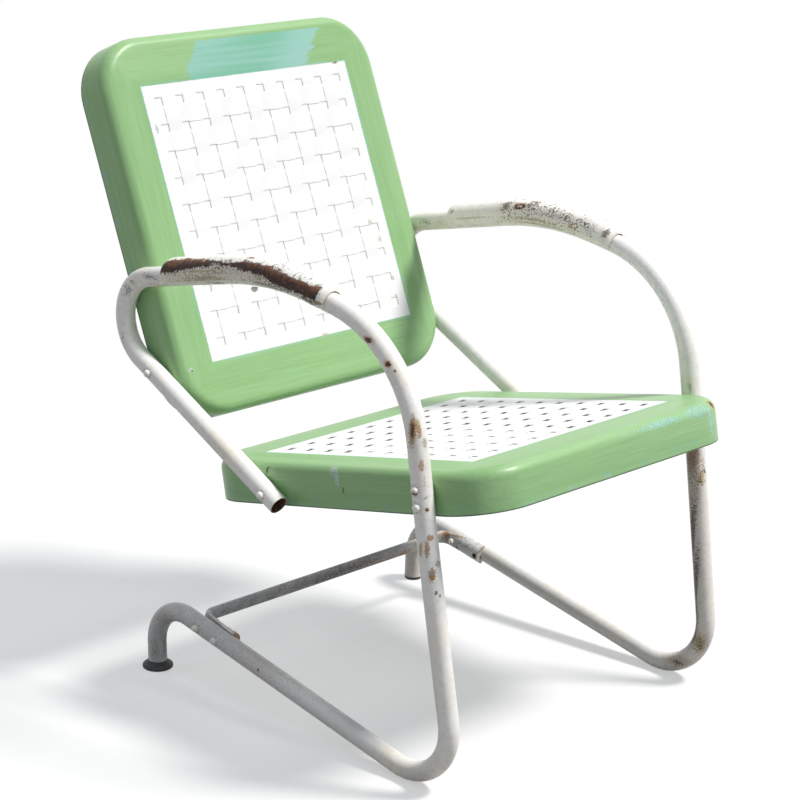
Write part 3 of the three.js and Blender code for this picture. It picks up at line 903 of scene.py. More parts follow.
@dataclass(frozen=True)
class TubePaint:
    """Aged off-white paint on the side frames and the stretcher."""

    name: str
    spots: tuple[Spot, ...] = ()
    cracked: tuple[Spot, ...] = ()
    grime_and_shade: float = 0.25
    cream: Colour = (0.9, 0.885, 0.855, 1)
    yellowed: Colour = (0.86, 0.8, 0.7, 1)
    grime_and_shade_grey: Colour = (0.26, 0.24, 0.235, 1)
    crack_scale: float = 95.0
    crack_swirl: float = 0.006
    relief: float = 0.0006

    def make(self, shelf: EffectShelf) -> Material:
        """Wires the material.

        Args:
            shelf: The shared effects.

        Returns:
            The material.
        """
        finish = Finish(self.name, shelf)
        graph, where = finish.graph, finish.where
        _, _, up = graph.split(finish.normal)
        below = graph.ramp(up, 0.25, -0.75)
        drift = graph.noise(where, 11.0, 4.0, 0.6)
        mottle = graph.noise(where, 130.0, 5.0, 0.68)
        fray = graph.noise(where, 560.0, 5.0, 0.7)
        paint = graph.mix(graph.ramp(drift, 0.45, 0.75), self.cream, self.yellowed)
        # Faces that look down are mixed towards the yellowed cream and get more grime: darker and yellower
        # underneath.
        paint = graph.mix(graph.times(below, 0.4), paint, self.yellowed)
        grime_and_shade_amount = graph.blend(below, self.grime_and_shade, self.grime_and_shade + 0.18)
        grime_and_shade_mask = graph.times(graph.ramp(mottle, 0.42, 0.72), grime_and_shade_amount)
        paint = graph.mix(grime_and_shade_mask, paint, self.grime_and_shade_grey)
        amount = graph.plus(graph.blend(below, 0.2, 0.45), graph.times(drift, self.grime_and_shade))
        specks = graph.group(shelf.speckles, Vector=where, Scale=900.0, Amount=amount)
        paint = graph.mix(graph.times(specks.outputs[0], 0.5), paint, self.grime_and_shade_grey)
        paint, bare = finish.wear(self.spots, where, fray, paint)
        chips = graph.group(shelf.chips, Vector=where, Scale=60.0, Amount=0.02 + 0.3 * self.grime_and_shade, Ragged=0.42)
        _, cracked = finish.wear(self.cracked, where, fray, paint)
        noise = graph.node("TexNoise", {"Vector": where, "Scale": 160.0}).outputs["Color"]
        swirl = graph.vector("MULTIPLY", noise, (self.crack_swirl,) * 3)
        feeds = {"Vector": graph.vector("ADD", where, swirl), "Scale": self.crack_scale}
        cells = graph.node("TexVoronoi", feeds, feature="DISTANCE_TO_EDGE")
        crack = graph.times(graph.ramp(cells.outputs["Distance"], 0.07, 0.03), cracked)
        bare = graph.most(graph.most(bare, crack), chips.outputs["Mask"])
        bare = graph.most(bare, graph.ramp(finish.attribute("inner"), 0.3, 0.7))
        rust = graph.group(shelf.rust, Vector=where, Scale=260.0, Orange=0.6)
        paint = graph.mix(graph.times(chips.outputs["Edge"], 0.7), paint, TAN)
        colour = graph.mix(bare, paint, rust.outputs["Color"])
        finish.set(Base_Color=colour, Roughness=graph.blend(bare, 0.4, rust.outputs["Roughness"]))
        rough = graph.plus(graph.times(mottle, 0.5), graph.times(fray, 0.3))
        finish.bump(graph.minus(rough, graph.times(bare, 0.45)), 0.6, self.relief)
        return finish.material


@dataclass(frozen=True)
class RustBand:
    """A worn band along an arm cap between two edges, given as reaches and degrees round from the top."""

    upper: tuple[Pair, ...]
    lower: tuple[Pair, ...]
    cover: float


@dataclass(frozen=True)
class CapPaint:
    """Worn cream paint on an arm cap, with a band that is down to brown rust.

    Its spots are placed by their reach and by their distance round the cap from its top.
    """

    name: str
    band: RustBand
    seen_side: float
    spots: tuple[Spot, ...]
    speckled_from: float
    dust: float
    peppered: float
    radius: float = 0.0225
    cream: Colour = (0.92, 0.9, 0.85, 1)
    aged_cream: Colour = (0.7, 0.65, 0.53, 1)
    dust_brown: Colour = (0.33, 0.28, 0.2, 1)
    speck_brown: Colour = (0.06, 0.038, 0.027, 1)
    # Painted light: a lighter rust along the band's upper edge. Painted shade: a near-black rust along its
    # lower edge.
    lit_rust: Colour = (0.27, 0.125, 0.072, 1)
    shaded_rust: Colour = (0.028, 0.018, 0.014, 1)
    end_fade: float = 0.0015
    relief: float = 0.0007

    def edge(self, graph: Graph, along: Socket, points: tuple[Pair, ...]) -> Socket:
        """An edge of the band in degrees, at each reach.

        Args:
            graph: The material's tree.
            along: The reach.
            points: The edge's reaches and degrees.

        Returns:
            Degrees round from the top.
        """
        first, last = points[0][0], points[-1][0]
        line = [((reach - first) / (last - first), degrees / 90) for reach, degrees in points]
        return graph.times(graph.curve(graph.ramp(along, first, last, "LINEAR"), line), 90.0)

    def make(self, shelf: EffectShelf) -> Material:
        """Wires the material.

        Args:
            shelf: The shared effects.

        Returns:
            The material.
        """
        finish = Finish(self.name, shelf)
        graph, where = finish.graph, finish.where
        along = finish.attribute("along")
        around = graph.times(finish.attribute("around"), self.seen_side)
        place = graph.join(along, graph.times(around, math.radians(self.radius)))
        mottle = graph.noise(where, 110.0, 5.0, 0.65)
        fray = graph.noise(where, 360.0, 5.0, 0.68)
        lobes = graph.plus(around, graph.times(graph.minus(mottle, 0.5), 38.0))
        crumbs = graph.minus(fray, 0.5)
        upper = self.edge(graph, along, self.band.upper)
        lower = self.edge(graph, along, self.band.lower)
        first, last = self.band.upper[0][0], self.band.upper[-1][0]
        below_top = graph.minus(graph.plus(lobes, graph.times(crumbs, 5.0)), upper)
        above_low = graph.minus(lower, graph.plus(lobes, graph.times(crumbs, 34.0)))
        inside = graph.times(graph.ramp(below_top, -1.5, 1.5), graph.ramp(above_low, -3.0, 3.0))
        inside = graph.times(inside, graph.ramp(along, first - self.end_fade, first))
        inside = graph.times(inside, graph.ramp(along, last + self.end_fade, last))
        # Round the band and below it the cream turns darker brown and gets more specks.
        near_band = graph.times(graph.ramp(above_low, -38.0, 0.0), graph.ramp(below_top, -12.0, 0.0))
        near_band = graph.times(near_band, self.dust)
        worn = graph.ramp(along, self.speckled_from, self.speckled_from + 0.02)
        worn = graph.times(worn, graph.ramp(along, last + 0.006, last - 0.001))
        paint = graph.mix(graph.ramp(mottle, 0.45, 0.85), self.cream, self.aged_cream)
        dusty = graph.times(graph.times(near_band, worn), graph.ramp(mottle, 0.25, 0.65))
        paint = graph.mix(graph.times(dusty, 0.36), paint, self.dust_brown)
        amount = graph.plus(0.12, graph.times(graph.plus(near_band, self.peppered), worn))
        specks = graph.group(shelf.speckles, Vector=where, Scale=380.0, Amount=graph.times(amount, 0.62))
        paint = graph.mix(graph.times(specks.outputs[0], 0.95), paint, self.speck_brown)
        paint, bare = finish.wear(self.spots, place, fray, paint)
        chips = graph.group(shelf.chips, Vector=where, Scale=70.0, Amount=self.band.cover, Ragged=0.5)
        nicks = graph.group(shelf.chips, Vector=where, Scale=150.0, Amount=0.12, Ragged=0.5)
        bare = graph.most(bare, graph.times(inside, chips.outputs["Mask"]))
        bare = graph.most(bare, graph.times(nicks.outputs["Mask"], worn))
        rust = graph.group(shelf.rust, Vector=where, Scale=150.0, Orange=0.22)
        # Painted light and shade: the band is lighter along its upper edge and near black along its lower
        # edge.
        lit = graph.times(graph.ramp(below_top, 14.0, 2.0), 0.6)
        brown = graph.mix(lit, rust.outputs["Color"], self.lit_rust)
        band_shade = graph.times(graph.ramp(above_low, 30.0, 8.0), 0.75)
        brown = graph.mix(band_shade, brown, self.shaded_rust)
        finish.set(
            Base_Color=graph.mix(bare, paint, brown),
            Roughness=graph.blend(bare, 0.45, rust.outputs["Roughness"]),
        )
        finish.bump(graph.minus(mottle, graph.times(bare, 0.6)), 0.6, self.relief)
        return finish.material


@dataclass(frozen=True)
class Patch:
    """A patch of the older turquoise, with brushed ends: its middle, half its size, and its slant."""

    centre: Pair
    half: Pair
    slant: float


@dataclass(frozen=True)
class PanPaint:
    """Hand-brushed green over turquoise, with a white woven panel. Its places are in the pan's own axes."""

    name: str
    origin: Vector
    turn: Euler
    panel: float
    patches: tuple[Patch, ...]
    spots: tuple[Spot, ...]
    skirt: float = 0.053
    green: Colour = (0.236, 0.426, 0.178, 1)
    light_green: Colour = (0.314, 0.512, 0.25, 1)
    turquoise: Colour = (0.185, 0.455, 0.315, 1)
    white: Colour = (0.82, 0.82, 0.82, 1)
    # Hole walls: brighter than the white as painted light, since they face away from the lamp; the seat sets
    # a dark grey of painted shade and dirt.
    hole: Colour = (0.9, 0.9, 0.9, 1)
    drift_green: Colour = (0.3, 0.5, 0.2, 1)
    pale_turquoise: Colour = (0.285, 0.52, 0.455, 1)
    patch_ends: Colour = (0.305, 0.54, 0.475, 1)
    rim_shade: Colour = (0.03, 0.05, 0.03, 1)
    shaded_inside_green: Colour = (0.13, 0.19, 0.11, 1)
    inside_dirt: Colour = (0.085, 0.075, 0.055, 1)
    weave_recess_shade: Colour = (0.42, 0.42, 0.43, 1)
    panel_stain: Colour = (0.66, 0.58, 0.42, 1)
    hole_rust: Colour = (0.22, 0.12, 0.07, 1)
    brush_scale: float = 330.0
    brush_stretch: float = 0.035
    relief: float = 0.0005

    def brushed(
        self, graph: Graph, shelf: EffectShelf, vectors: tuple[Socket, Socket], at_side: Socket
    ) -> list[Socket]:
        """Brush marks that run along the pan's nearest edge.

        Args:
            graph: The material's tree.
            shelf: The shared effects.
            vectors: The pan's coordinates, and the same with x and y exchanged.
            at_side: Where the marks run along y.

        Returns:
            Fine and broad marks.
        """
        settings = {"Scale": self.brush_scale, "Stretch": self.brush_stretch}
        runs = [graph.group(shelf.brush, Vector=vector, **settings).outputs for vector in vectors]
        return [graph.blend(at_side, runs[1][part], runs[0][part]) for part in ("Value", "Broad")]

    def make(self, shelf: EffectShelf) -> Material:
        """Wires the material.

        Args:
            shelf: The shared effects.

        Returns:
            The material.
        """
        finish = Finish(self.name, shelf)
        graph = finish.graph
        feeds = {"Vector": finish.where, "Location": self.origin, "Rotation": self.turn}
        local = graph.node("Mapping", feeds, vector_type="TEXTURE").outputs[0]
        across, along, out = graph.split(local)
        exchanged = graph.join(along, across, out)
        half = self.panel / 2
        off_side = graph.math("ABSOLUTE", across)
        off_middle = graph.math("ABSOLUTE", graph.minus(along, half))
        fray = graph.noise(local, 420.0, 4.0, 0.65)
        drift = graph.noise(local, 13.0, 4.0, 0.6)
        ragged = graph.minus(fray, 0.5)
        turn_over = graph.plus(graph.minus(off_side, off_middle), graph.times(ragged, 0.03))
        at_side = graph.ramp(turn_over, -0.004, 0.004)
        marks, broad = self.brushed(graph, shelf, (local, exchanged), at_side)
        tone = graph.plus(graph.times(marks, 0.45), graph.times(broad, 0.55))
        paint = graph.mix(graph.ramp(tone, 0.28, 0.72), self.green, self.light_green)
        paint = graph.mix(graph.times(graph.ramp(drift, 0.5, 0.8), 0.35), paint, self.drift_green)
        under = graph.mix(graph.ramp(broad, 0.4, 0.62), self.turquoise, self.pale_turquoise)
        shown, ends = self.patch_masks(graph, across, along, tone)
        under = graph.mix(ends, under, self.patch_ends)
        edge = graph.most(off_side, off_middle)
        fringe = graph.plus(edge, graph.times(graph.minus(drift, 0.5), 0.012))
        fringe = graph.times(graph.ramp(fringe, half + 0.0032, half + 0.0018), 0.4)
        shown = graph.most(shown, fringe)
        chips = graph.group(shelf.chips, Vector=local, Scale=60.0, Amount=0.46, Ragged=0.5)
        worn = graph.times(graph.ramp(out, 0.022 - self.skirt, 0.004 - self.skirt), chips.outputs["Mask"])
        shown = graph.most(shown, graph.times(worn, 0.6))
        paint = graph.mix(shown, paint, under)
        # Painted shade: a near-black green along the skirt's lower edge.
        rim = graph.ramp(out, 0.0022 - self.skirt, 0.0008 - self.skirt)
        paint = graph.mix(graph.times(rim, 0.8), paint, self.rim_shade)
        wobble = graph.plus(edge, graph.times(ragged, 0.0026))
        within = graph.ramp(wobble, half + 0.0004, half - 0.0004)
        white = graph.times(within, graph.ramp(out, -0.008, -0.006))
        paint = graph.mix(white, paint, self.panel_colour(graph, out, drift, fray))
        paint, bare = finish.wear(self.spots, local, fray, paint)
        rust = graph.group(shelf.rust, Vector=local, Scale=260.0, Orange=0.4)
        paint = graph.mix(bare, paint, rust.outputs["Color"])
        # The inner face: the green darkened as painted shade, mixed with brown dirt.
        inner = graph.ramp(finish.attribute("inner"), 0.8, 1.0)
        inside = graph.mix(graph.ramp(drift, 0.38, 0.66), self.shaded_inside_green, self.inside_dirt)
        colour = graph.mix(inner, paint, inside)
        gloss = graph.blend(white, graph.blend(marks, 0.3, 0.44), 0.5)
        finish.set(Base_Color=colour, Roughness=graph.blend(bare, gloss, 0.85))
        finish.set(Specular_IOR_Level=0.34)
        finish.bump(graph.minus(tone, graph.times(shown, 0.35)), 0.3, self.relief)
        return finish.material

    def patch_masks(self, graph: Graph, across: Socket, along: Socket, tone: Socket) -> tuple[object, object]:
        """Where the turquoise patches show, with ends drawn out by the brush, and where those ends lie.

        Args:
            graph: The material's tree.
            across: The pan's x.
            along: The pan's y.
            tone: The brush marks.

        Returns:
            The mask of the patches and the mask of their ends.
        """
        mask: object = 0.0
        ends: object = 0.0
        for patch in self.patches:
            up = graph.minus(along, patch.centre[1])
            sideways = graph.minus(across, patch.centre[0])
            sideways = graph.minus(sideways, graph.times(up, patch.slant))
            sideways = graph.plus(sideways, graph.times(graph.minus(tone, 0.5), 0.07))
            wide = graph.math("DIVIDE", graph.math("ABSOLUTE", sideways), patch.half[0])
            tall = graph.math("DIVIDE", graph.math("ABSOLUTE", up), patch.half[1])
            reach = graph.most(wide, tall)
            mask = graph.most(mask, graph.ramp(reach, 1.02, 0.96))
            right = graph.math("DIVIDE", sideways, patch.half[0])
            pale = graph.times(graph.ramp(right, 0.1, 0.8), 0.85)
            ends = graph.most(ends, graph.most(pale, graph.times(wide, 0.2)))
        return mask, ends

    def panel_colour(self, graph: Graph, out: Socket, drift: Socket, fray: Socket) -> Socket:
        """The white of the woven panel, with painted shade in its low places and the hole colour, with rust,
        on its hole walls.

        Args:
            graph: The material's tree.
            out: The height above the pan's face.
            drift: Broad noise.
            fray: Fine noise.

        Returns:
            The colour.
        """
        # Painted shade: grey in the weave's low places, varied by broad noise.
        dust = graph.times(graph.ramp(out, -0.0003, -0.001), graph.blend(drift, 0.0, 0.4))
        colour = graph.mix(dust, self.white, self.weave_recess_shade)
        stain = graph.times(graph.ramp(drift, 0.62, 0.75), graph.ramp(fray, 0.5, 0.7))
        colour = graph.mix(graph.times(stain, 0.25), colour, self.panel_stain)
        # Hole walls take the hole colour, with rust in places: painted light on the back, painted shade and
        # dirt on the seat.
        hole = graph.mix(graph.ramp(drift, 0.5, 0.62), self.hole, self.hole_rust)
        return graph.mix(graph.ramp(out, -0.0007, -0.0011), colour, hole)


@dataclass(frozen=True)
class PlainFinish:
    """A small part's finish: a base colour with dirt and rust over it."""

    name: str
    base: Colour
    worn: Colour
    roughness: float
    metallic: float
    rust_amount: float
    spots: tuple[Spot, ...] = ()
    relief: float = 0.0003

    def make(self, shelf: EffectShelf) -> Material:
        """Wires the material.

        Args:
            shelf: The shared effects.

        Returns:
            The material.
        """
        finish = Finish(self.name, shelf)
        graph, where = finish.graph, finish.where
        mottle = graph.noise(where, 420.0, 4.0, 0.6)
        colour = graph.mix(graph.ramp(mottle, 0.35, 0.7), self.base, self.worn)
        colour, spotted = finish.wear(self.spots, where, mottle, colour)
        chips = graph.group(shelf.chips, Vector=where, Scale=260.0, Amount=self.rust_amount, Ragged=0.4)
        rust = graph.group(shelf.rust, Vector=where, Scale=500.0, Orange=0.6)
        bare = graph.most(chips.outputs["Mask"], spotted)
        finish.set(
            Base_Color=graph.mix(bare, colour, rust.outputs["Color"]),
            Roughness=graph.blend(bare, self.roughness, rust.outputs["Roughness"]),
            Metallic=self.metallic,
        )
        finish.bump(graph.minus(mottle, graph.times(bare, 0.4)), 0.5, self.relief)
        return finish.material


# Sub-assemblies


def settle(piece: Piece, material: Material, slot: str, nodes: list[str], body: str = "") -> None:
    """Dresses a finished piece and ties it to the frame.

    Args:
        piece: The finished piece.
        material: Its finish.
        slot: The material slot of the part that the finish stands for; it is not used.
        nodes: The frame's nodes that the piece replaces.
        body: The body that it rides on; an empty name leaves it unridden.
    """
    piece.data.materials.clear()
    piece.data.materials.append(material)
    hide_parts(*nodes)
    if body:
        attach(piece, body)
    LOG.info("%s: %d faces, replaces %s", piece.name, len(piece.data.polygons), ", ".join(nodes))


@dataclass
class SideFrame:
    """One side frame: a single tube bent from foot to open end."""

    side: Side
    sides: int = 32
    wall: float = 0.00165
    bend_step: float = math.radians(4)
    straight_step: float = 0.03
    spring_start: Place = Place(0.45, 0.014)
    spring_heading: float = math.radians(60)
    spring_length: float = 0.116
    on_glide: float = 0.0113
    on_plug: float = 0.0043

    def build(self) -> Piece:
        """Bends the tube and thickens its wall.

        Returns:
            The tube.
        """
        run = LINE.stretches(self.foot_height())
        start = in_space(0, run[0].start)
        bpy.ops.mesh.primitive_circle_add(
            vertices=self.sides, radius=LINE.tube_radius, fill_type="NOTHING", location=start
        )
        tube = start_piece(f"{self.side.label}_side_tube")
        bpy.ops.object.transform_apply()
        with editing(tube):
            bpy.ops.mesh.select_all(action="SELECT")
            for stretch in run:
                self.bend(stretch)
        face_up(tube)
        mould(tube, self.lean)
        thicken(tube, self.wall, even=True)
        return tube

    def foot_height(self) -> float:
        """The height of the tube's lower end, on top of the foot's head."""
        return self.on_glide if self.side is Side.RIGHT else self.on_plug

    def bend(self, stretch: Stretch) -> None:
        """Extrudes or spins the open ring at the end of the tube along one stretch.

        Args:
            stretch: The stretch.
        """
        if not stretch.radius:
            steps = max(1, math.ceil(stretch.length / self.straight_step))
            move = in_space(0, stretch.at(stretch.length / steps)[0]) - in_space(0, stretch.start)
            for _ in range(steps):
                extrude(move)
            return
        hand = math.copysign(QUARTER, stretch.turn)
        centre = stretch.start.onward(stretch.heading + hand, stretch.radius)
        steps = max(2, math.ceil(abs(stretch.turn) / self.bend_step))
        bpy.ops.mesh.spin(steps=steps, angle=stretch.turn, center=in_space(0, centre), axis=(1, 0, 0))

    def lean(self, point: Vector) -> Vector:
        """Moves a point of the tube out to its side, further out as the frame rises to the seat."""
        half = LINE.half_spacing(Place(FOOT_Y - point.y, point.z))
        return Vector((point.x + self.side.value * half, point.y, point.z))

    def dress(self, tube: Piece, paint: Material) -> None:
        """Paints the tube.

        Args:
            tube: The tube.
            paint: Its finish.
        """
        label = self.side.label
        settle(tube, paint, "tube_paint", [f"{label}_base_tube", f"{label}_upper_tube"])
        start = in_space(0, self.spring_start)
        end = in_space(0, self.spring_start.onward(self.spring_heading, self.spring_length))
        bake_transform(tube)


@dataclass
class WovenPan:
    """A stamped pan with rounded edges, a deep skirt and a woven panel of through holes.

    It is modelled with its face up: x across, y along the face from the panel's near edge, z out of the face.
    """

    name: str
    node: str
    origin: Vector
    turn: Euler
    length: float = 0.501
    setback: float = 0.0694
    skirt: float = 0.053
    corner_radius: float = 0.0725
    edge_radius: float = 0.0145
    sheet: float = 0.0012
    panel: float = 0.365
    holes: int = 10
    pitch: float = 0.0355
    hole_width: float = 0.0117
    hole_length: float = 0.0105
    relief: float = 0.0008
    lip_drop: float = 0.0012
    lip_width: float = 0.0014
    step: float = 0.0009
    strip_shares: tuple[float, ...] = (
        0.012, 0.03, 0.055, 0.14, 0.26, 0.38, 0.5, 0.62, 0.74, 0.86, 0.945, 0.97, 0.988
    )
    margin_shares: tuple[float, ...] = (0.0, 0.35, 0.65, 0.82, 0.9, 0.95, 0.98)

    @property
    def half_width(self) -> float:
        """Half the width of the pan, which fits between the side frames."""
        return LINE.seat_half_spacing - LINE.tube_radius - 0.0003

    def build(self) -> Piece:
        """Presses the pan.

        Returns:
            The pan in its place on the chair.
        """
        pan = self.blank()
        self.add_panel(pan)
        face_up(pan, lambda face: abs(face.normal.z) - abs(face.center.z))
        self.weave(pan)
        thicken(pan, self.sheet)
        pan.data.transform(Matrix.LocRotScale(self.origin, self.turn, None))
        return pan

    def blank(self) -> Piece:
        """Makes the plain tray: a box with rounded corners and edges, open below and in its face.

        Returns:
            The tray.
        """
        middle = self.length / 2 - self.setback
        bpy.ops.mesh.primitive_cube_add(size=1, location=(0, middle, -self.skirt / 2))
        pan = start_piece(self.name)
        pan.scale = (2 * self.half_width, self.length, self.skirt)
        bpy.ops.object.transform_apply()
        with editing(pan):
            pick(pan, Element.EDGE, lambda edge: edge.calc_length() < self.skirt * 1.01)
            bpy.ops.mesh.bevel(offset=self.corner_radius, segments=14, affect="EDGES")
            pick(pan, Element.EDGE, lambda edge: all(abs(vertex.co.z) < ON_FACE for vertex in edge.verts))
            bpy.ops.mesh.bevel(offset=self.edge_radius, segments=7, affect="EDGES")
            pick(pan, Element.FACE, lambda face: face.calc_center_median().z < ON_FACE - self.skirt)
            bpy.ops.mesh.delete(type="ONLY_FACE")
            pick(pan, Element.FACE, lambda face: all(abs(vertex.co.z) < ON_FACE for vertex in face.verts))
            bpy.ops.mesh.delete(type="ONLY_FACE")
        return pan

    def lines(self, hole: float) -> list[float]:
        """Where the panel's grid lines run, from its middle, close to each edge of the strips.

        Args:
            hole: The width of a hole across these lines.

        Returns:
            The places, in rising order.
        """
        places = []
        first = -(self.holes - 1) / 2 * self.pitch
        margin = self.panel / 2 + first - hole / 2
        places += [share * margin - self.panel / 2 for share in self.margin_shares]
        for number in range(self.holes):
            centre = first + number * self.pitch
            for offset in (hole / 2, hole / 2 - self.step, hole / 2 - 2 * self.step, hole / 6):
                places += [centre - offset, centre + offset]
            if number < self.holes - 1:
                strip = self.pitch - hole
                places += [centre + hole / 2 + share * strip for share in self.strip_shares]
        places += [self.panel / 2 - share * margin for share in self.margin_shares]
        return sorted(places)

    def add_panel(self, pan: Piece) -> None:
        """Fills the face with a grid whose lines follow the weave, and cuts its holes.

        Args:
            pan: The tray.
        """
        columns = self.lines(self.hole_width)
        rows = self.lines(self.hole_length)
        with editing(pan):
            bpy.ops.mesh.primitive_grid_add(
                x_subdivisions=len(columns) - 1,
                y_subdivisions=len(rows) - 1,
                size=self.panel,
                location=(0, self.panel / 2, 0),
            )
            shape = bmesh.from_edit_mesh(pan.data)
            inner = [vertex for vertex in shape.verts if vertex.select]
            for vertex in inner:
                column = round((vertex.co.x / self.panel + 0.5) * (len(columns) - 1))
                row = round(vertex.co.y / self.panel * (len(rows) - 1))
                vertex.co = (columns[column], rows[row] + self.panel / 2, 0)
            bmesh.update_edit_mesh(pan.data)
            pick(pan, Element.EDGE, lambda edge: edge.is_boundary and edge.verts[0].co.z > -ON_FACE)
            bpy.ops.mesh.fill(use_beauty=True)
            pick(pan, Element.FACE, lambda face: self.in_hole(face.calc_center_median()))
            bpy.ops.mesh.delete(type="FACE")

    def cell(self, point: Vector) -> Pair:
        """A point's place in the weave, in pitches: the holes lie at whole numbers."""
        middle = (self.holes - 1) / 2
        return point.x / self.pitch + middle, (point.y - self.panel / 2) / self.pitch + middle

    def in_hole(self, point: Vector) -> bool:
        """Whether a point of the face lies in a hole.

        Args:
            point: The point.

        Returns:
            True if it does.
        """
        column, row = self.cell(point)
        if min(column, row) < -0.5 or max(column, row) > self.holes - 0.5 or abs(point.z) > ON_FACE:
            return False
        across = abs(column - round(column)) * self.pitch
        along = abs(row - round(row)) * self.pitch
        return across < self.hole_width / 2 and along < self.hole_length / 2

    def weave(self, pan: Piece) -> None:
        """Lifts and sinks the panel's points to the strips of the weave.

        Args:
            pan: The flat pan.
        """
        limit = self.panel / 2 - ON_FACE
        for vertex in pan.data.vertices:
            point = vertex.co
            inside = abs(point.x) < limit and abs(point.y - limit) < limit and abs(point.z) < ON_FACE
            if inside:
                point.z = self.height_at(point)
        pan.data.update()

    def height_at(self, point: Vector) -> float:
        """The height of the weave at a point of the panel.

        Args:
            point: A point in the plane of the face.

        Returns:
            Its height above that plane: the strip that lies on top, turned down round the holes.
        """
        column, row = self.cell(point)
        last = self.holes - 1
        from_hole = math.hypot(
            max(abs(column - min(max(round(column), 0), last)) * self.pitch - self.hole_width / 2, 0.0),
            max(abs(row - min(max(round(row), 0), last)) * self.pitch - self.hole_length / 2, 0.0),
        )
        rounded = 1 - min(from_hole / self.lip_width, 1.0)
        drop = self.lip_drop * (1 - math.sqrt(1 - rounded**2))
        if not (0 < column < last and 0 < row < last):
            return -drop
        near = 1e-4
        hole_across = self.hole_width / 2 / self.pitch
        hole_along = self.hole_length / 2 / self.pitch
        on_upright = hole_across - near <= column % 1 <= 1 - hole_across + near
        on_level = hole_along - near <= row % 1 <= 1 - hole_along + near
        upright = (-1) ** math.floor(column) * math.sin(math.pi * row)
        level = -((-1) ** math.floor(row)) * math.sin(math.pi * column)
        waves = [wave for wave, lies in ((upright, on_upright), (level, on_level)) if lies]
        return self.relief * max(waves, default=0.0) - drop


PANS = (
    WovenPan(
        "woven_seat", "seat_pan", in_space(0, Place(0.1447, 0.3234)),
        Euler((math.radians(11.63), 0, math.pi)), relief=0.0003,
    ),
    WovenPan(
        "woven_back", "back_pan", in_space(0, Place(0.0437, 0.4213)),
        Euler((QUARTER - math.radians(22.1), 0, 0)),
    ),
)


@dataclass
class ArmCap:
    """A pressed cap that saddles the arm, closed and drawn in at both ends."""

    side: Side
    rear_reach: float
    length: float = 0.291
    half_width: float = 0.0219
    stand: float = 0.0109
    lip_drop: float = 0.006
    sheet: float = 0.0015
    nose: float = 0.016
    gap: float = 0.0003
    rings: int = 46
    nose_rings: int = 7
    sides: int = 36
    open_sides: int = 4
    lip_share: float = 0.88

    @property
    def front_reach(self) -> float:
        """The reach of the front end."""
        return self.rear_reach + self.length

    def build(self) -> Piece:
        """Extrudes a strip of rings and moulds it over the arm.

        Returns:
            The cap.
        """
        places = self.ring_places()
        bpy.ops.mesh.primitive_circle_add(
            vertices=self.sides, radius=1, fill_type="NOTHING", rotation=(QUARTER, 0, 0)
        )
        cap = start_piece(f"{self.side.label}_pressed_arm_cap")
        bpy.ops.object.transform_apply()
        with editing(cap):
            bpy.ops.mesh.select_all(action="SELECT")
            for _ in places[1:]:
                extrude((0, 1, 0))
        self.open_below(cap)
        sections = [self.section(vertex.co, places) for vertex in cap.data.vertices]
        write_numbers(cap, "along", [reach for reach, _, _ in sections])
        write_numbers(cap, "around", [
            math.degrees(math.atan2(self.side.value * across, raised)) for _, across, raised in sections
        ])
        mould(cap, lambda point: self.form(point, places))
        face_up(cap)
        add_modifier(cap, "SOLIDIFY", thickness=self.sheet, offset=-1)
        smooth(cap, 50)
        return cap

    def ring_places(self) -> list[Pair]:
        """Each ring's reach and swell, from the front end to the rear end.

        Returns:
            The reaches and swells.
        """
        ends = []
        for step in range(self.nose_rings):
            angle = QUARTER * step / self.nose_rings
            ends.append((self.nose * (1 - math.cos(angle)), math.sin(angle)))
        front = self.front_reach - self.nose
        rear = self.rear_reach + self.nose
        places = [(self.front_reach - inset, swell) for inset, swell in ends]
        places += [(front + (rear - front) * step / self.rings, 1.0) for step in range(self.rings + 1)]
        places += [(self.rear_reach + inset, swell) for inset, swell in reversed(ends)]
        return places

    def open_below(self, cap: Piece) -> None:
        """Takes out the lowest faces, where the tube shows.

        Args:
            cap: The round blank.
        """
        low = -math.cos(self.open_sides * math.pi / self.sides) + 0.001
        with editing(cap):
            pick(cap, Element.FACE, lambda face: face.calc_center_median().z < low)
            bpy.ops.mesh.delete(type="FACE")

    def section(self, point: Vector, places: list[Pair]) -> Triple:
        """A point's place in the cap's own section.

        Args:
            point: The point on a ring of radius 1; its y is the ring's number.
            places: The reach and swell of each ring.

        Returns:
            The reach along the arm, and the distances across and above the arm's line.
        """
        reach, swell = places[round(point.y)]
        snug = LINE.tube_radius + self.gap + self.sheet
        top = snug + (LINE.tube_radius + self.stand - snug) * swell
        half = snug + (self.half_width - snug) * swell
        middle = self.stand / 2 * swell
        lip_angle = math.acos((-self.lip_drop - middle) / (top - middle))
        share = math.atan2(abs(point.x), point.z) / (math.pi * (1 - self.open_sides / self.sides))
        angle = lip_angle * min(share / self.lip_share, 1.0)
        raised = middle + (top - middle) * math.cos(angle)
        across = half * math.sin(angle)
        if share > self.lip_share:
            across += (snug - across) * (share - self.lip_share) / (1 - self.lip_share)
        return reach, math.copysign(across, point.x), raised

    def form(self, point: Vector, places: list[Pair]) -> Vector:
        """Carries a point of the round blank to the pressed cap.

        Args:
            point: The point on a ring of radius 1.
            places: The reach and swell of each ring.

        Returns:
            The point on the cap.
        """
        reach, across, raised = self.section(point, places)
        place, heading = LINE.arm_at(reach)
        across += self.side.value * LINE.seat_half_spacing
        return in_space(across, place.onward(heading - QUARTER, raised))


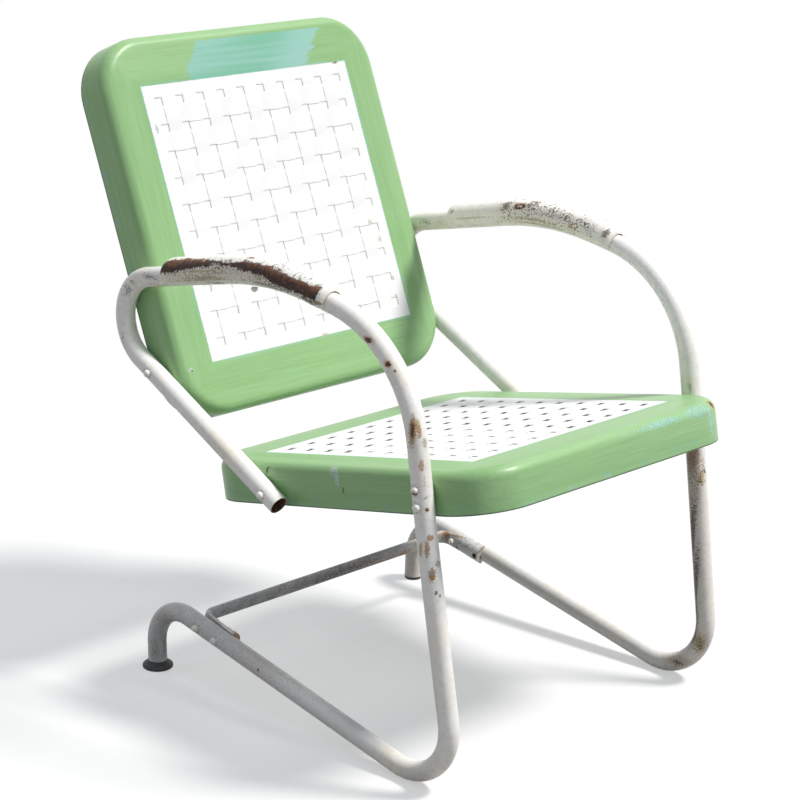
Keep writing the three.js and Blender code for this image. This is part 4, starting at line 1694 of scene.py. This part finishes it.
@dataclass
class Stretcher:
    """The rear stretcher: a flattened tube whose ends turn forward and cup the runners."""

    reach: float = 0.076
    height: float = 0.019
    depth: float = 0.008
    bend_radius: float = 0.014
    flange_length: float = 0.069
    gap: float = 0.0003
    sides: int = 28
    bar_rings: int = 24
    bend_rings: int = 8
    flange_rings: int = 12
    cup_angle: float = math.radians(64)
    cup_wall: float = 0.0035
    hole_radius: float = 0.0027
    empty_hole: Triple = (0.2261, 0.0672, 0.0763)
    drill_length: float = 0.012
    height_fullness: float = 0.8
    depth_fullness: float = 0.7

    def on_runner(self, forward: float) -> Place:
        """A place on the runner's line, a distance forward of the bar along the slope."""
        start = crossing(LINE.runner_rear(), -LINE.runner_fall, Place(self.reach, 0), QUARTER)
        return start.onward(-LINE.runner_fall, forward)

    def flange_across(self) -> float:
        """The distance across of the flanges' middle line."""
        half = LINE.half_spacing(self.on_runner(self.flange_length))
        return half - LINE.tube_radius - self.gap - self.depth / 2

    def stations(self) -> list[Station]:
        """Across, forward, heading and cupping of each ring, from the right flange's end to the left's.

        Returns:
            The four numbers of each ring.
        """
        half: list[Station] = []
        across = self.flange_across()
        run = self.flange_length - self.bend_radius
        for step in range(self.flange_rings):
            forward = self.flange_length - run * step / self.flange_rings
            half.append((across, forward, QUARTER, min(1.0, 1.6 * (1 - step / self.flange_rings))))
        for step in range(self.bend_rings + 1):
            heading = QUARTER * (1 - step / self.bend_rings)
            inward = across - self.bend_radius * (1 - math.sin(heading))
            half.append((inward, self.bend_radius * (1 - math.cos(heading)), heading, 0.0))
        end = across - self.bend_radius
        for step in range(1, self.bar_rings // 2):
            half.append((end * (1 - 2 * step / self.bar_rings), 0.0, 0.0, 0.0))
        mirrored = [(-x, forward, -heading, cup) for x, forward, heading, cup in half]
        return mirrored + [(0.0, 0.0, 0.0, 0.0)] + half[::-1]

    def build(self) -> Piece:
        """Extrudes the rings and moulds them along the bar and its flanges.

        Returns:
            The stretcher.
        """
        stations = self.stations()
        bpy.ops.mesh.primitive_circle_add(
            vertices=self.sides, radius=1, fill_type="NGON", rotation=(0, QUARTER, 0)
        )
        bar = start_piece("cupped_stretcher")
        bpy.ops.object.transform_apply()
        with editing(bar):
            bpy.ops.mesh.select_all(action="SELECT")
            for _ in stations[1:]:
                extrude((1, 0, 0))
        mould(bar, lambda point: self.form(point, stations))
        face_out(bar)
        bpy.ops.mesh.primitive_cylinder_add(
            radius=self.hole_radius,
            depth=self.drill_length,
            location=self.empty_hole,
            rotation=(0, QUARTER, 0),
        )
        drill = start_piece("drill")
        add_modifier(bar, "BOOLEAN", operation="DIFFERENCE", object=drill)
        scrap(drill)
        smooth(bar, 55)
        return bar

    def form(self, point: Vector, stations: list[Station]) -> Vector:
        """Carries a point of the round blank to the stretcher.

        Args:
            point: The point on a ring of radius 1; its x is the ring's number.
            stations: The place of each ring.

        Returns:
            The point on the stretcher.
        """
        across, forward, heading, cup = stations[round(point.x)]
        up = self.height / 2 * math.copysign(abs(point.z) ** self.height_fullness, point.z)
        out = self.depth / 2 * math.copysign(abs(point.y) ** self.depth_fullness, point.y)
        if cup:
            axis = LINE.tube_radius + self.gap + self.depth / 2
            bend = self.cup_angle * point.z
            inner = LINE.tube_radius + self.gap
            outer = inner + self.cup_wall + (self.depth - self.cup_wall) * math.cos(bend) ** 3
            radius = inner if point.y > 0 else outer
            radius += (outer + inner - 2 * radius) / 2 * (1 - min(1.0, abs(point.y) * 3))
            cupped_up = radius * math.sin(bend)
            cupped_out = axis - radius * math.cos(bend)
            up += (cupped_up - up) * cup
            out += (cupped_out - out) * cup
        side = math.copysign(1.0, across) if across else 1.0
        turned_out = abs(heading)
        across += side * out * math.sin(turned_out)
        forward -= out * math.cos(turned_out)
        slope = self.on_runner(forward).onward(QUARTER - LINE.runner_fall, up)
        return in_space(across, slope)


@dataclass
class Feet:
    """The flared rubber glide of the right foot and the low plug of the left."""

    glide_radius: float = 0.0205
    glide_height: float = 0.011
    plug_height: float = 0.004
    stem: float = 0.012
    sides: int = 40

    def build(self) -> list[tuple[Piece, str]]:
        """Turns both feet.

        Returns:
            Each foot with the node that it replaces.
        """
        radius, height = self.glide_radius, self.glide_height
        tube = LINE.tube_radius
        profile = [(0.86, 0.0), (0.93, 0.03), (0.985, 0.12), (1.0, 0.26)]
        profile += [(0.99, 0.42), (0.94, 0.54), (0.86, 0.62)]
        rings = [(radius * out, height * up) for out, up in profile]
        rings += [(tube + 0.0022, height * 0.72), (tube + 0.0012, height * 0.95)]
        rings += [(tube * 0.82, height + 0.0002)]
        glide = turned("flared_foot_glide", rings + [(tube * 0.7, height + self.stem)], self.sides)
        low = self.plug_height
        rings = [(tube * 0.8, 0.0), (tube * 0.92, 0.0003), (tube * 0.985, 0.0013), (tube, 0.0026)]
        rings += [(tube * 0.96, low * 0.92), (tube * 0.8, low), (tube * 0.7, low + self.stem)]
        plug = turned("low_foot_plug", rings, self.sides)
        for piece, side, rise in ((glide, Side.RIGHT, height), (plug, Side.LEFT, low)):
            across = side.value * LINE.half_spacing(Place(0, rise))
            piece.data.transform(Matrix.Translation((across, FOOT_Y, 0)))
            smooth(piece, 45)
        return [(glide, "right_foot_glide"), (plug, "left_foot_plug")]


@dataclass
class Fasteners:
    """The domed bolts and hexagon nuts, modelled once and copied to each of their places."""

    head_radius: float = 0.005
    head_height: float = 0.004
    shank_radius: float = 0.0025
    shank: float = 0.03
    collar: float = 0.0009
    nut_across: float = 0.008
    nut_height: float = 0.004
    nut_chamfer: float = 0.0006
    bolt_end: float = 0.0016
    sides: int = 20
    dome_rings: int = 6
    collar_swell: float = 1.02

    def bolt_model(self) -> Piece:
        """A bolt along Z with its head up and the seat of the head at the origin.

        Returns:
            The bolt.
        """
        radius, height = self.head_radius, self.head_height
        rings = [(self.shank_radius, -self.shank), (self.shank_radius, -self.collar)]
        rings += [(radius * self.collar_swell, -self.collar), (radius * self.collar_swell, 0.0)]
        for step in range(1, self.dome_rings):
            angle = QUARTER * step / self.dome_rings
            rings.append((radius * math.cos(angle), height * math.sin(angle)))
        bolt = turned("bolt_model", rings + [(0.0, height)], self.sides)
        smooth(bolt, 50)
        return bolt

    def nut_model(self) -> Piece:
        """A nut along Z that stands on the origin, with chamfered corners and its bolt's end in it.

        Returns:
            The nut.
        """
        flat = self.nut_across / 2 / math.cos(math.pi / 6)
        bpy.ops.mesh.primitive_circle_add(vertices=6, radius=flat, fill_type="NGON")
        nut = start_piece("nut_model")
        with editing(nut):
            bpy.ops.mesh.select_all(action="SELECT")
            extrude((0, 0, self.nut_height))
            bpy.ops.mesh.select_all(action="SELECT")
            bpy.ops.mesh.bevel(offset=self.nut_chamfer, segments=2, affect="EDGES")
            top = self.nut_height * 0.9
            pick(nut, Element.FACE, lambda face: len(face.verts) == 6 and face.calc_center_median().z > top)
            share = self.shank_radius / flat
            bpy.ops.mesh.inset(thickness=flat * (1 - share) * 0.7)
            extrude((0, 0, self.bolt_end))
        face_out(nut)
        smooth(nut, 30)
        return nut

    def fit(self, bolt_paint: Material, nut_steel: Material) -> None:
        """Copies a bolt and a nut to the place of each bolt and nut of the frame.

        Args:
            bolt_paint: The bolts' finish.
            nut_steel: The nuts' finish.
        """
        bolt, nut = self.bolt_model(), self.nut_model()
        base = set(frame["record"]["behaviour"]["bodies"]["base"])
        for node in frame["nodes"]:
            is_bolt = node.endswith("_bolt")
            if not (is_bolt or node.endswith("_nut")):
                continue
            low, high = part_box(node)
            middle = (low + high) / 2
            if node == "right_arm_cap_nut":
                _, heading = LINE.arm_at(FOOT_Y - middle.y)
                place = Matrix.Translation(middle) @ Matrix.Rotation(-heading, 4, "X")
                place = place @ Matrix.Translation((0, 0, -self.nut_height / 2))
            else:
                facing = math.copysign(1, middle.x if is_bolt else -middle.x)
                height = self.head_height if is_bolt else self.nut_height
                outer = high.x if facing > 0 else low.x
                place = Matrix.Translation((outer - facing * height, middle.y, middle.z))
                place = place @ Matrix.Rotation(facing * QUARTER, 4, "Y")
            name = node.replace("_bolt", "_domed_bolt").replace("_nut", "_hexagon_nut")
            copy = copy_of(bolt if is_bolt else nut, name, place)
            body = "base" if node in base else "upper"
            finish, slot = (bolt_paint, "bolt_paint") if is_bolt else (nut_steel, "nut_steel")
            settle(copy, finish, slot, [node], body)
        scrap(bolt)
        scrap(nut)


# Studio


@dataclass(frozen=True)
class Studio:
    """A pale floor, soft lamps and the camera at the photograph's angle."""

    camera_place: Triple = (-2.0945, -2.0369, 1.2416)
    yaw: float = math.radians(45.94)
    pitch: float = math.radians(-17.82)
    roll: float = math.radians(-1.12)
    focal_pixels: float = 2335.25
    principal_x: float = 404.91
    principal_y: float = 448.81
    sensor: float = 36.0
    floor_size: float = 40.0
    white_share: float = 0.45
    white_from: float = 0.55
    white_at: float = 1.5
    floor_lit: Colour = (0.3, 0.3, 0.3, 1)
    floor_seen: Colour = (0.83, 0.83, 0.83, 1)
    light_below: float = 0.205
    light_above: float = 0.59
    sky: Colour = (0.86, 0.92, 1.0, 1)

    def build(self, shelf: EffectShelf) -> None:
        """Sets up the view, the floor, the lamps and the world.

        Args:
            shelf: The shared effects.
        """
        self.add_camera()
        self.add_floor(shelf)
        self.add_lamp("sun", (2.1, -2.1, 4.5), spread=12, strength=3.65, colour=(1.0, 0.985, 0.96))
        self.light_world()
        bpy.context.scene.view_settings.view_transform = "Standard"

    def add_camera(self) -> None:
        """Adds the camera that the photograph was fitted to."""
        data = bpy.data.cameras.new("photo_camera")
        data.sensor_width = self.sensor
        data.lens = self.focal_pixels * self.sensor / PHOTO_PIXELS
        data.shift_x = 0.5 - self.principal_x / PHOTO_PIXELS
        data.shift_y = self.principal_y / PHOTO_PIXELS - 0.5
        data.clip_end = 100
        camera = bpy.data.objects.new("photo_camera", data)
        forward = Vector((
            math.sin(self.yaw) * math.cos(self.pitch),
            math.cos(self.yaw) * math.cos(self.pitch),
            math.sin(self.pitch),
        ))
        level = forward.cross(Vector((0, 0, 1))).normalized()
        down = forward.cross(level)
        right = math.cos(self.roll) * level + math.sin(self.roll) * down
        up = right.cross(forward)
        turn = Matrix((right, up, -forward)).transposed()
        camera.matrix_world = Matrix.Translation(self.camera_place) @ turn.to_4x4()
        bpy.context.collection.objects.link(camera)
        bpy.context.scene.camera = camera

    def add_floor(self, shelf: EffectShelf) -> None:
        """Adds the floor, which keeps the chair's shadow and turns white further out for the camera.

        Args:
            shelf: The shared effects.
        """
        bpy.ops.mesh.primitive_plane_add(size=self.floor_size, location=(0, 0, 0))
        floor = start_piece("floor")
        finish = Finish("studio_floor", shelf)
        graph = finish.graph
        shown = graph.shown_rays()
        finish.set(Base_Color=graph.mix(shown, self.floor_lit, self.floor_seen), Roughness=0.9)
        finish.set(Specular_IOR_Level=0.1)
        distance = graph.length(finish.where)
        fade = graph.blend(graph.ramp(distance, self.white_from, self.white_at), self.white_share, 1.0)
        white = graph.node("Emission", {"Strength": 1.0})
        surface = graph.mix_shaders(graph.times(fade, shown), finish.shader, white)
        graph.feed(finish.output.inputs["Surface"], surface)
        floor.data.materials.append(finish.material)

    def add_lamp(self, name: str, place: Triple, spread: float, strength: float, colour: Triple) -> None:
        """Adds a far soft lamp.

        Args:
            name: The lamp's name.
            place: A point in the direction from which it shines on the middle of the chair.
            spread: How wide it looks from the chair, in degrees.
            strength: The light that it gives.
            colour: Its colour.
        """
        data = bpy.data.lights.new(name, "SUN")
        data.angle = math.radians(spread)
        data.energy = strength
        data.color = colour
        lamp = bpy.data.objects.new(name, data)
        lamp.location = place
        lamp.rotation_euler = (-Vector(place)).to_track_quat("-Z", "Y").to_euler()
        bpy.context.collection.objects.link(lamp)

    def light_world(self) -> None:
        """Lights from all round, most from above, and shows white behind the chair."""
        world = bpy.data.worlds.new("studio_world")
        bpy.context.scene.world = world
        world.use_nodes = True
        world.node_tree.nodes.clear()
        graph = Graph(world.node_tree)
        _, _, up = graph.split(graph.node("TexCoord").outputs["Generated"])
        strength = graph.blend(graph.ramp(up, 0.0, 1.0), self.light_below, self.light_above)
        light = graph.node("Background", {"Color": self.sky, "Strength": strength})
        seen = graph.node("Background", {"Color": (1, 1, 1, 1), "Strength": 1.0})
        graph.node("OutputWorld", {"Surface": graph.mix_shaders(graph.shown_rays(), light, seen)})


CAPS = (ArmCap(Side.RIGHT, 0.045), ArmCap(Side.LEFT, 0.059))

CAP_PAINTS = (
    CapPaint(
        "right_cap_cream",
        RustBand(
            upper=((0.046, 40), (0.083, 26), (0.121, 31), (0.175, 46), (0.223, 37), (0.292, 47), (0.328, 36)),
            lower=((0.046, 76), (0.088, 69), (0.151, 54), (0.187, 60), (0.23, 70), (0.289, 88), (0.328, 80)),
            cover=0.95,
        ),
        1.0,
        (
            Spot((0.206, 0.007, 0), (0.0045, 0.0016, 1)),
            Spot((0.13, 0.028, 0), (0.03, 0.0012, 1), OLIVE, 0.7),
            Spot((0.155, 0.031, 0), (0.02, 0.001, 1), DIRT, 0.7),
            Spot((0.331, 0.034, 0), (0.005, 0.003, 1), OLIVE, 0.8),
            Spot((0.235, 0.03, 0), (0.02, 0.004, 1), TAN, 0.4, 0.4),
            Spot((0.13, 0.037, 0), (0.075, 0.009, 1), DARK_RUST, 1.0, 0.15, 0.6),
            Spot((0.24, 0.04, 0), (0.06, 0.009, 1), DARK_RUST, 1.0, 0.15, 0.6),
            Spot((0.12, 0.0405, 0), (0.07, 0.0012, 1), (0.2, 0.13, 0.06, 1), 0.9, 0.3, 0.2),
            Spot((0.13, 0.036, 0), (0.09, 0.01, 1), (0.8, 0.66, 0.42, 1), 0.5, 0.8, -0.3),
            Spot((0.315, 0.036, 0), (0.02, 0.006, 1), (0.16, 0.09, 0.04, 1), 0.95, 0.15, 0.4),
        ),
        speckled_from=0.05, dust=0.6, peppered=0.5,
    ),
    CapPaint(
        "left_cap_cream",
        RustBand(
            upper=((0.16, 30), (0.2, 30), (0.24, 38), (0.28, 42), (0.325, 48)),
            lower=((0.16, 52), (0.2, 58), (0.24, 52), (0.28, 62), (0.325, 70)),
            cover=0.42,
        ),
        -1.0,
        (
            Spot((0.1895, 0.0177, 0), (0.0024, 0.0022, 1), sparse=-0.2),
            Spot((0.2025, 0.0177, 0), (0.0024, 0.0022, 1), sparse=-0.2),
            Spot((0.196, 0.0146, 0), (0.005, 0.0012, 1), sparse=-0.2),
            Spot((0.196, 0.0208, 0), (0.005, 0.0012, 1), sparse=-0.2),
            Spot((0.215, 0.0067, 0), (0.006, 0.0013, 1)),
            Spot((0.342, 0.02, 0), (0.0045, 0.009, 1), (0.07, 0.035, 0.02, 1), 0.95, 0.15, 0.2),
            Spot((0.287, 0.03, 0), (0.0035, 0.0025, 1), OCHRE, 0.9),
            Spot((0.0745, 0.022, 0), (0.0035, 0.003, 1), OLIVE, 0.7),
            Spot((0.11, 0.032, 0), (0.03, 0.0014, 1), OLIVE, 0.5),
            Spot((0.172, 0.018, 0), (0.014, 0.011, 1), (0.14, 0.06, 0.03, 1), 1.0, 0.15, 0.45),
            Spot((0.25, 0.024, 0), (0.075, 0.01, 1), (0.09, 0.05, 0.03, 1), 1.0, 0.15, 0.9),
            # Painted shade: a grey-lilac band along the cap's side.
            Spot((0.24, 0.018, 0), (0.08, 0.005, 1), (0.34, 0.32, 0.35, 1), 0.25, 0.8, -0.1),
            Spot((0.22, 0.034, 0), (0.1, 0.006, 1), OLIVE, 0.9, 0.2, 0.6),
            Spot((0.23, 0.041, 0), (0.11, 0.006, 1), OLIVE, 0.9, 0.2, 0.55),
            Spot((0.2, 0.036, 0), (0.13, 0.014, 1), YELLOWING, 0.3, 0.8, -0.3),
        ),
        speckled_from=0.155, dust=0.34, peppered=0.6,
    ),
)

TUBE_SPOTS = {
    Side.RIGHT: (
        Spot((-0.2632, -0.2763, 0.4465), (0.005, 0.0045, 0.019), (0.24, 0.145, 0.055, 1), 0.9, 0.3),
        Spot((-0.2632, -0.2763, 0.4465), (0.004, 0.0035, 0.016), sparse=0.45),
        Spot((-0.2585, -0.28, 0.45), (0.003, 0.004, 0.013), TAN),
        Spot((-0.2574, -0.2817, 0.444), (0.0022, 0.003, 0.008), OCHRE, 0.7),
        Spot((-0.2529, -0.2865, 0.4324), (0.003, 0.003, 0.006), OLIVE, 0.6),
        Spot((-0.2598, -0.2883, 0.4067), (0.003, 0.003, 0.007), OCHRE, 0.75),
        Spot((-0.2587, -0.2975, 0.3555), (0.0022, 0.002, 0.002)),
        Spot((-0.2584, -0.303, 0.3228), (0.004, 0.0035, 0.0035), OCHRE),
        Spot((-0.2619, -0.302, 0.3099), (0.0028, 0.003, 0.011), OCHRE),
        Spot((-0.2647, -0.2944, 0.3073), (0.003, 0.003, 0.009), TAN),
        Spot((-0.2512, -0.3099, 0.2909), (0.004, 0.003, 0.004), OLIVE, 0.7),
        Spot((-0.2596, -0.3087, 0.2792), (0.0045, 0.004, 0.008), OLIVE),
        Spot((-0.259, -0.3092, 0.276), (0.0025, 0.003, 0.004), OCHRE),
        Spot((-0.2573, -0.3135, 0.2577), (0.002, 0.002, 0.0022), DIRT),
        Spot((-0.2529, -0.3158, 0.2535), (0.0016, 0.002, 0.002), DIRT),
        Spot((-0.265, -0.2041, 0.5395), (0.002, 0.006, 0.003)),
        Spot((-0.2641, -0.2361, 0.5175), (0.002, 0.004, 0.003)),
        Spot((-0.2623, -0.2457, 0.5109), (0.0015, 0.002, 0.002), DIRT),
        Spot((-0.2646, 0.185, 0.5426), (0.01, 0.04, 0.009), DIRT, 0.9, 0.15, 0.75),
        Spot((-0.2646, 0.22, 0.53), (0.01, 0.02, 0.012), DIRT, 0.9, 0.15, 0.95),
        Spot((-0.264, 0.2308, 0.5171), (0.01, 0.018, 0.018), DIRT, 0.9, 0.15, 0.8),
        Spot((-0.265, 0.2439, 0.4487), (0.012, 0.02, 0.05), DIRT, 0.9, 0.15, 1.1),
        Spot((-0.26, 0.05, 0.556), (0.01, 0.08, 0.006), (0.14, 0.08, 0.04, 1), 1.0, 0.15, 0.7),
        Spot((-0.262, -0.26, 0.472), (0.008, 0.01, 0.014), DIRT, 0.9, 0.15, 1.0),
        Spot((-0.2585, -0.292, 0.385), (0.008, 0.01, 0.03), OCHRE, 0.8, 0.2, 1.0),
        Spot((-0.2585, -0.31, 0.275), (0.008, 0.01, 0.04), OCHRE, 0.8, 0.2, 1.1),
        Spot((-0.256, 0.165, 0.531), (0.012, 0.03, 0.006), TAN, 0.35, 0.5),
        Spot((-0.2586, -0.009, 0.0661), (0.0025, 0.0022, 0.0022), DIRT),
        Spot((-0.2428, 0.1927, 0.0415), (0.0035, 0.004, 0.022), DIRT, 0.6, 0.3),
        Spot((-0.256, 0.1977, 0.03), (0.004, 0.006, 0.014), OLIVE, 0.45, 0.4),
        Spot((-0.2594, 0.1761, 0.0839), (0.01, 0.02, 0.014), TAN, 0.4, 0.5),
        Spot((-0.2578, -0.2785, 0.0181), (0.01, 0.035, 0.01), TAN, 0.2, 0.5),
        # Painted shade: blue-grey over the rear of the right runner.
        Spot((-0.245, 0.14, 0.06), (0.03, 0.17, 0.09), PAINTED_SHADE_BLUE, 0.52, 0.6),
    ),
    Side.LEFT: (
        Spot((0.241, -0.287, 0.402), (0.006, 0.01, 0.02), OLIVE, 0.85, 0.2, 0.8),
        Spot((0.2425, -0.297, 0.31), (0.007, 0.01, 0.034), (0.36, 0.18, 0.07, 1), 0.95, 0.4, 0.0),
        Spot((0.2425, -0.299, 0.3), (0.01, 0.012, 0.055), (0.14, 0.07, 0.03, 1), 1.0, 0.15, 0.8),
        Spot((0.2425, -0.304, 0.25), (0.006, 0.01, 0.05), (0.46, 0.31, 0.22, 1), 0.75, 0.5, 0.2),
        Spot((0.25, -0.309, 0.305), (0.005, 0.005, 0.022), OCHRE, 0.9, 0.15, 0.6),
        Spot((0.245, 0.205, 0.045), (0.02, 0.02, 0.06), (0.58, 0.42, 0.31, 1), 0.4, 0.5, -0.3),
        Spot((0.25, -0.31, 0.15), (0.03, 0.05, 0.13), (0.74, 0.61, 0.45, 1), 0.35, 0.6, -0.2),
        # Painted shade: the tube seen through the flange's empty hole.
        Spot((0.232, 0.0672, 0.0763), (0.008, 0.0038, 0.0038), HOLE_SHADE, 1.0, 0.15, -0.6),
        Spot((0.2453, -0.3095, 0.283), (0.006, 0.004, 0.01), TAN, 0.8),
        Spot((0.245, 0.18, 0.542), (0.02, 0.07, 0.02), YELLOWING, 0.2, 0.7, -0.4),
        Spot((0.2396, 0.1912, 0.5402), (0.01, 0.03, 0.012), OLIVE, 0.9, 0.2, 0.85),
        Spot((0.2397, 0.1623, 0.5449), (0.01, 0.02, 0.012), TAN, 0.7, 0.3, 0.9),
        Spot((0.233, -0.3024, 0.024), (0.01, 0.03, 0.01), TAN, 0.6, 0.5, 0.2),
        Spot((0.235, -0.331, 0.06), (0.014, 0.014, 0.022), TAN, 0.9, 0.3, 0.35),
        Spot((0.235, -0.332, 0.058), (0.014, 0.014, 0.026), BEND_RUST, 1.0, 0.15, 0.75),
        Spot((0.233, -0.299, 0.023), (0.01, 0.016, 0.007), BEND_RUST, 1.0, 0.15, 0.6),
        Spot((0.2386, -0.3062, 0.1795), (0.0027, 0.0045, 0.05), LEG_RUST, 1.0, 0.3, -0.4),
        Spot((0.2374, -0.317, 0.1174), (0.0027, 0.0045, 0.05), LEG_RUST, 1.0, 0.3, -0.4),
        Spot((0.2366, -0.3215, 0.082), (0.0027, 0.0045, 0.025), LEG_RUST, 1.0, 0.3, -0.3),
    ),
}

CRACKED = {
    Side.RIGHT: (Spot((-0.253, -0.292, 0.3705), (0.011, 0.004, 0.003)),),
    Side.LEFT: (Spot((0.2455, -0.309, 0.287), (0.009, 0.006, 0.012)),),
}

PAN_PAINTS = (
    PanPaint(
        "seat_green", PANS[0].origin, PANS[0].turn, PANS[0].panel,
        (),
        (
            Spot((-0.1978, 0.4211, -0.0056), (0.005, 0.005, 0.005)),
            Spot((-0.1835, 0.43, -0.023), (0.0022, 0.003, 0.013), PALE_TURQUOISE, 1.0, 0.15, -0.6),
            Spot((-0.088, 0.427, -0.008), (0.038, 0.009, 0.0042), PALE_TURQUOISE, 0.75, 0.3, 0.0),
            Spot((-0.16, 0.427, -0.008), (0.02, 0.009, 0.006), PALE_TURQUOISE, 0.6, 0.4, -0.2),
            Spot((-0.02, 0.427, -0.008), (0.05, 0.009, 0.006), PALE_TURQUOISE, 0.8, 0.3, 0.8),
            Spot((0.2382, 0.064, -0.008), (0.004, 0.0035, 0.007), DIRT, 0.9, 0.15, 0.3),
            Spot((0.236, 0.183, -0.005), (0.006, 0.009, 0.009), WORN_CORNER, 1.0, 0.15, 0.35),
            Spot((0.2385, 0.189, -0.015), (0.004, 0.0035, 0.01), WORN_CORNER, 1.0, 0.15, 0.0),
            Spot((0.2393, 0.1984, -0.0285), (0.003, 0.002, 0.003), DIRT, 0.8),
        ),
        # Painted shade and dirt: dark grey hole walls.
        hole=(0.27, 0.26, 0.28, 1),
    ),
    PanPaint(
        "back_green", PANS[1].origin, PANS[1].turn, PANS[1].panel,
        (Patch((0.018, 0.3895), (0.108, 0.0265), 0.72),),
        (
            Spot((-0.2206, -0.0036, 0.0), (0.004, 0.0025, 0.004), (0.72, 0.74, 0.7, 1)),
            Spot((-0.219, -0.005, 0.0), (0.0015, 0.0015, 0.003), DIRT),
            Spot((-0.1739, 0.3083, 0.0), (0.002, 0.006, 0.003), (0.4, 0.34, 0.42, 1), 0.6),
            Spot((0.1645, 0.364, 0.0), (0.005, 0.0013, 0.003), DIRT),
            Spot((0.1516, 0.1377, 0.0), (0.004, 0.004, 0.003), TAN, 0.45),
            Spot((0.1627, 0.1119, 0.0), (0.003, 0.005, 0.003), TAN, 0.45),
            Spot((0.1681, 0.0551, 0.0), (0.003, 0.003, 0.003), OLIVE, 0.4),
            Spot((0.1652, 0.0298, 0.0), (0.003, 0.003, 0.003), TAN, 0.45),
            Spot((0.0179, 0.001, 0.0), (0.006, 0.002, 0.003), TAN, 0.5),
        ),
    ),
)


def bolt_contact_shadows(side: Side) -> tuple[Spot, ...]:
    """Painted shadow on the tube round the heads of its bolts.

    Args:
        side: The tube's side.

    Returns:
        A spot for each bolt.
    """
    rings = []
    for node in frame["nodes"]:
        if node.startswith(side.label) and node.endswith("_bolt"):
            low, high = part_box(node)
            middle = (low + high) / 2
            head = low.x if side is Side.RIGHT else high.x
            place = (head, middle.y, middle.z)
            # Painted shadow: a dark ring round the bolt's head.
            rings.append(Spot(place, (0.012, 0.0068, 0.0068), (0.16, 0.14, 0.13, 1), 0.6, 0.3))
    return tuple(rings)


def main() -> None:
    """Builds and dresses the chair."""
    logging.basicConfig(level=logging.INFO, format="%(message)s")
    shelf = EffectShelf()
    Studio().build(shelf)
    for side in Side:
        side_frame = SideFrame(side)
        spots = TUBE_SPOTS[side] + bolt_contact_shadows(side)
        paint = TubePaint(f"{side.label}_tube_cream", spots, CRACKED[side], grime_and_shade=0.13)
        side_frame.dress(side_frame.build(), paint.make(shelf))
    for cap, cap_paint in zip(CAPS, CAP_PAINTS):
        settle(cap.build(), cap_paint.make(shelf), "cap_paint", [f"{cap.side.label}_arm_cap"], "upper")
    for pan, pan_paint in zip(PANS, PAN_PAINTS):
        settle(pan.build(), pan_paint.make(shelf), "pan_paint", [pan.node], "upper")
    # The stretcher is painted darker than the side frames: its high grime amount and its blue-grey spot are
    # painted shade, and its ochre, olive and tan spots are stains and rust.
    stretcher_spots = (
        Spot((0.0, 0.126, 0.095), (0.3, 0.03, 0.03), PAINTED_SHADE_BLUE, 0.5, 0.5, -0.3),
        Spot((0.03, 0.126, 0.09), (0.2, 0.03, 0.02), DIRT, 1.0, 0.15, 0.75),
        Spot((0.09, 0.126, 0.084), (0.1, 0.03, 0.01), OCHRE, 0.85, 0.2, 0.75),
        Spot((0.145, 0.126, 0.084), (0.025, 0.03, 0.012), OCHRE, 0.85, 0.2, 0.5),
        Spot((0.19, 0.125, 0.095), (0.03, 0.02, 0.01), TAN, 0.7, 0.4),
        Spot((0.2259, 0.1209, 0.096), (0.006, 0.0045, 0.01), OCHRE),
        Spot((0.2304, 0.1, 0.0975), (0.006, 0.014, 0.003), OCHRE, 0.7),
        # Painted shadow: a dark dot below the flange's nut.
        Spot((0.2273, 0.1018, 0.078), (0.004, 0.003, 0.003), DIRT, 1.0, 0.15, -0.3),
        # Painted shade: round the flange's empty hole.
        Spot((0.228, 0.0672, 0.0763), (0.006, 0.0029, 0.0029), HOLE_SHADE, 1.0, 0.15, -0.5),
        Spot((0.229, 0.106, 0.096), (0.008, 0.022, 0.005), OLIVE, 0.9, 0.15, 0.6),
        Spot((0.229, 0.058, 0.082), (0.008, 0.0018, 0.012)),
        Spot((-0.23, 0.059, 0.086), (0.01, 0.005, 0.01), OCHRE, 0.8),
    )
    stretcher_paint = TubePaint("stretcher_cream", stretcher_spots, grime_and_shade=0.6)
    settle(Stretcher().build(), stretcher_paint.make(shelf), "tube_paint", ["rear_stretcher"], "base")
    rubber = PlainFinish(
        "foot_rubber_black", (0.02, 0.021, 0.026, 1), (0.055, 0.055, 0.06, 1),
        roughness=0.62, metallic=0.0, rust_amount=0.0,
    )
    rubber_material = rubber.make(shelf)
    for foot, node in Feet().build():
        settle(foot, rubber_material, "foot_rubber", [node], "base")
    low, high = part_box("right_seat_front_upper_bolt")
    edge = (low.x, low.y + 0.002, low.z + 0.001)
    bolt_rust = (Spot(edge, (0.006, 0.0035, 0.0035)),)
    bolt_paint = PlainFinish(
        "bolt_cream", (0.9, 0.89, 0.86, 1), (0.8, 0.75, 0.66, 1),
        roughness=0.35, metallic=0.0, rust_amount=0.2, spots=bolt_rust,
    )
    nut_steel = PlainFinish(
        "nut_dull_steel", (0.86, 0.83, 0.77, 1), (0.62, 0.54, 0.42, 1),
        roughness=0.5, metallic=0.1, rust_amount=0.2,
    )
    Fasteners().fit(bolt_paint.make(shelf), nut_steel.make(shelf))


if __name__ == "__main__":
    main()
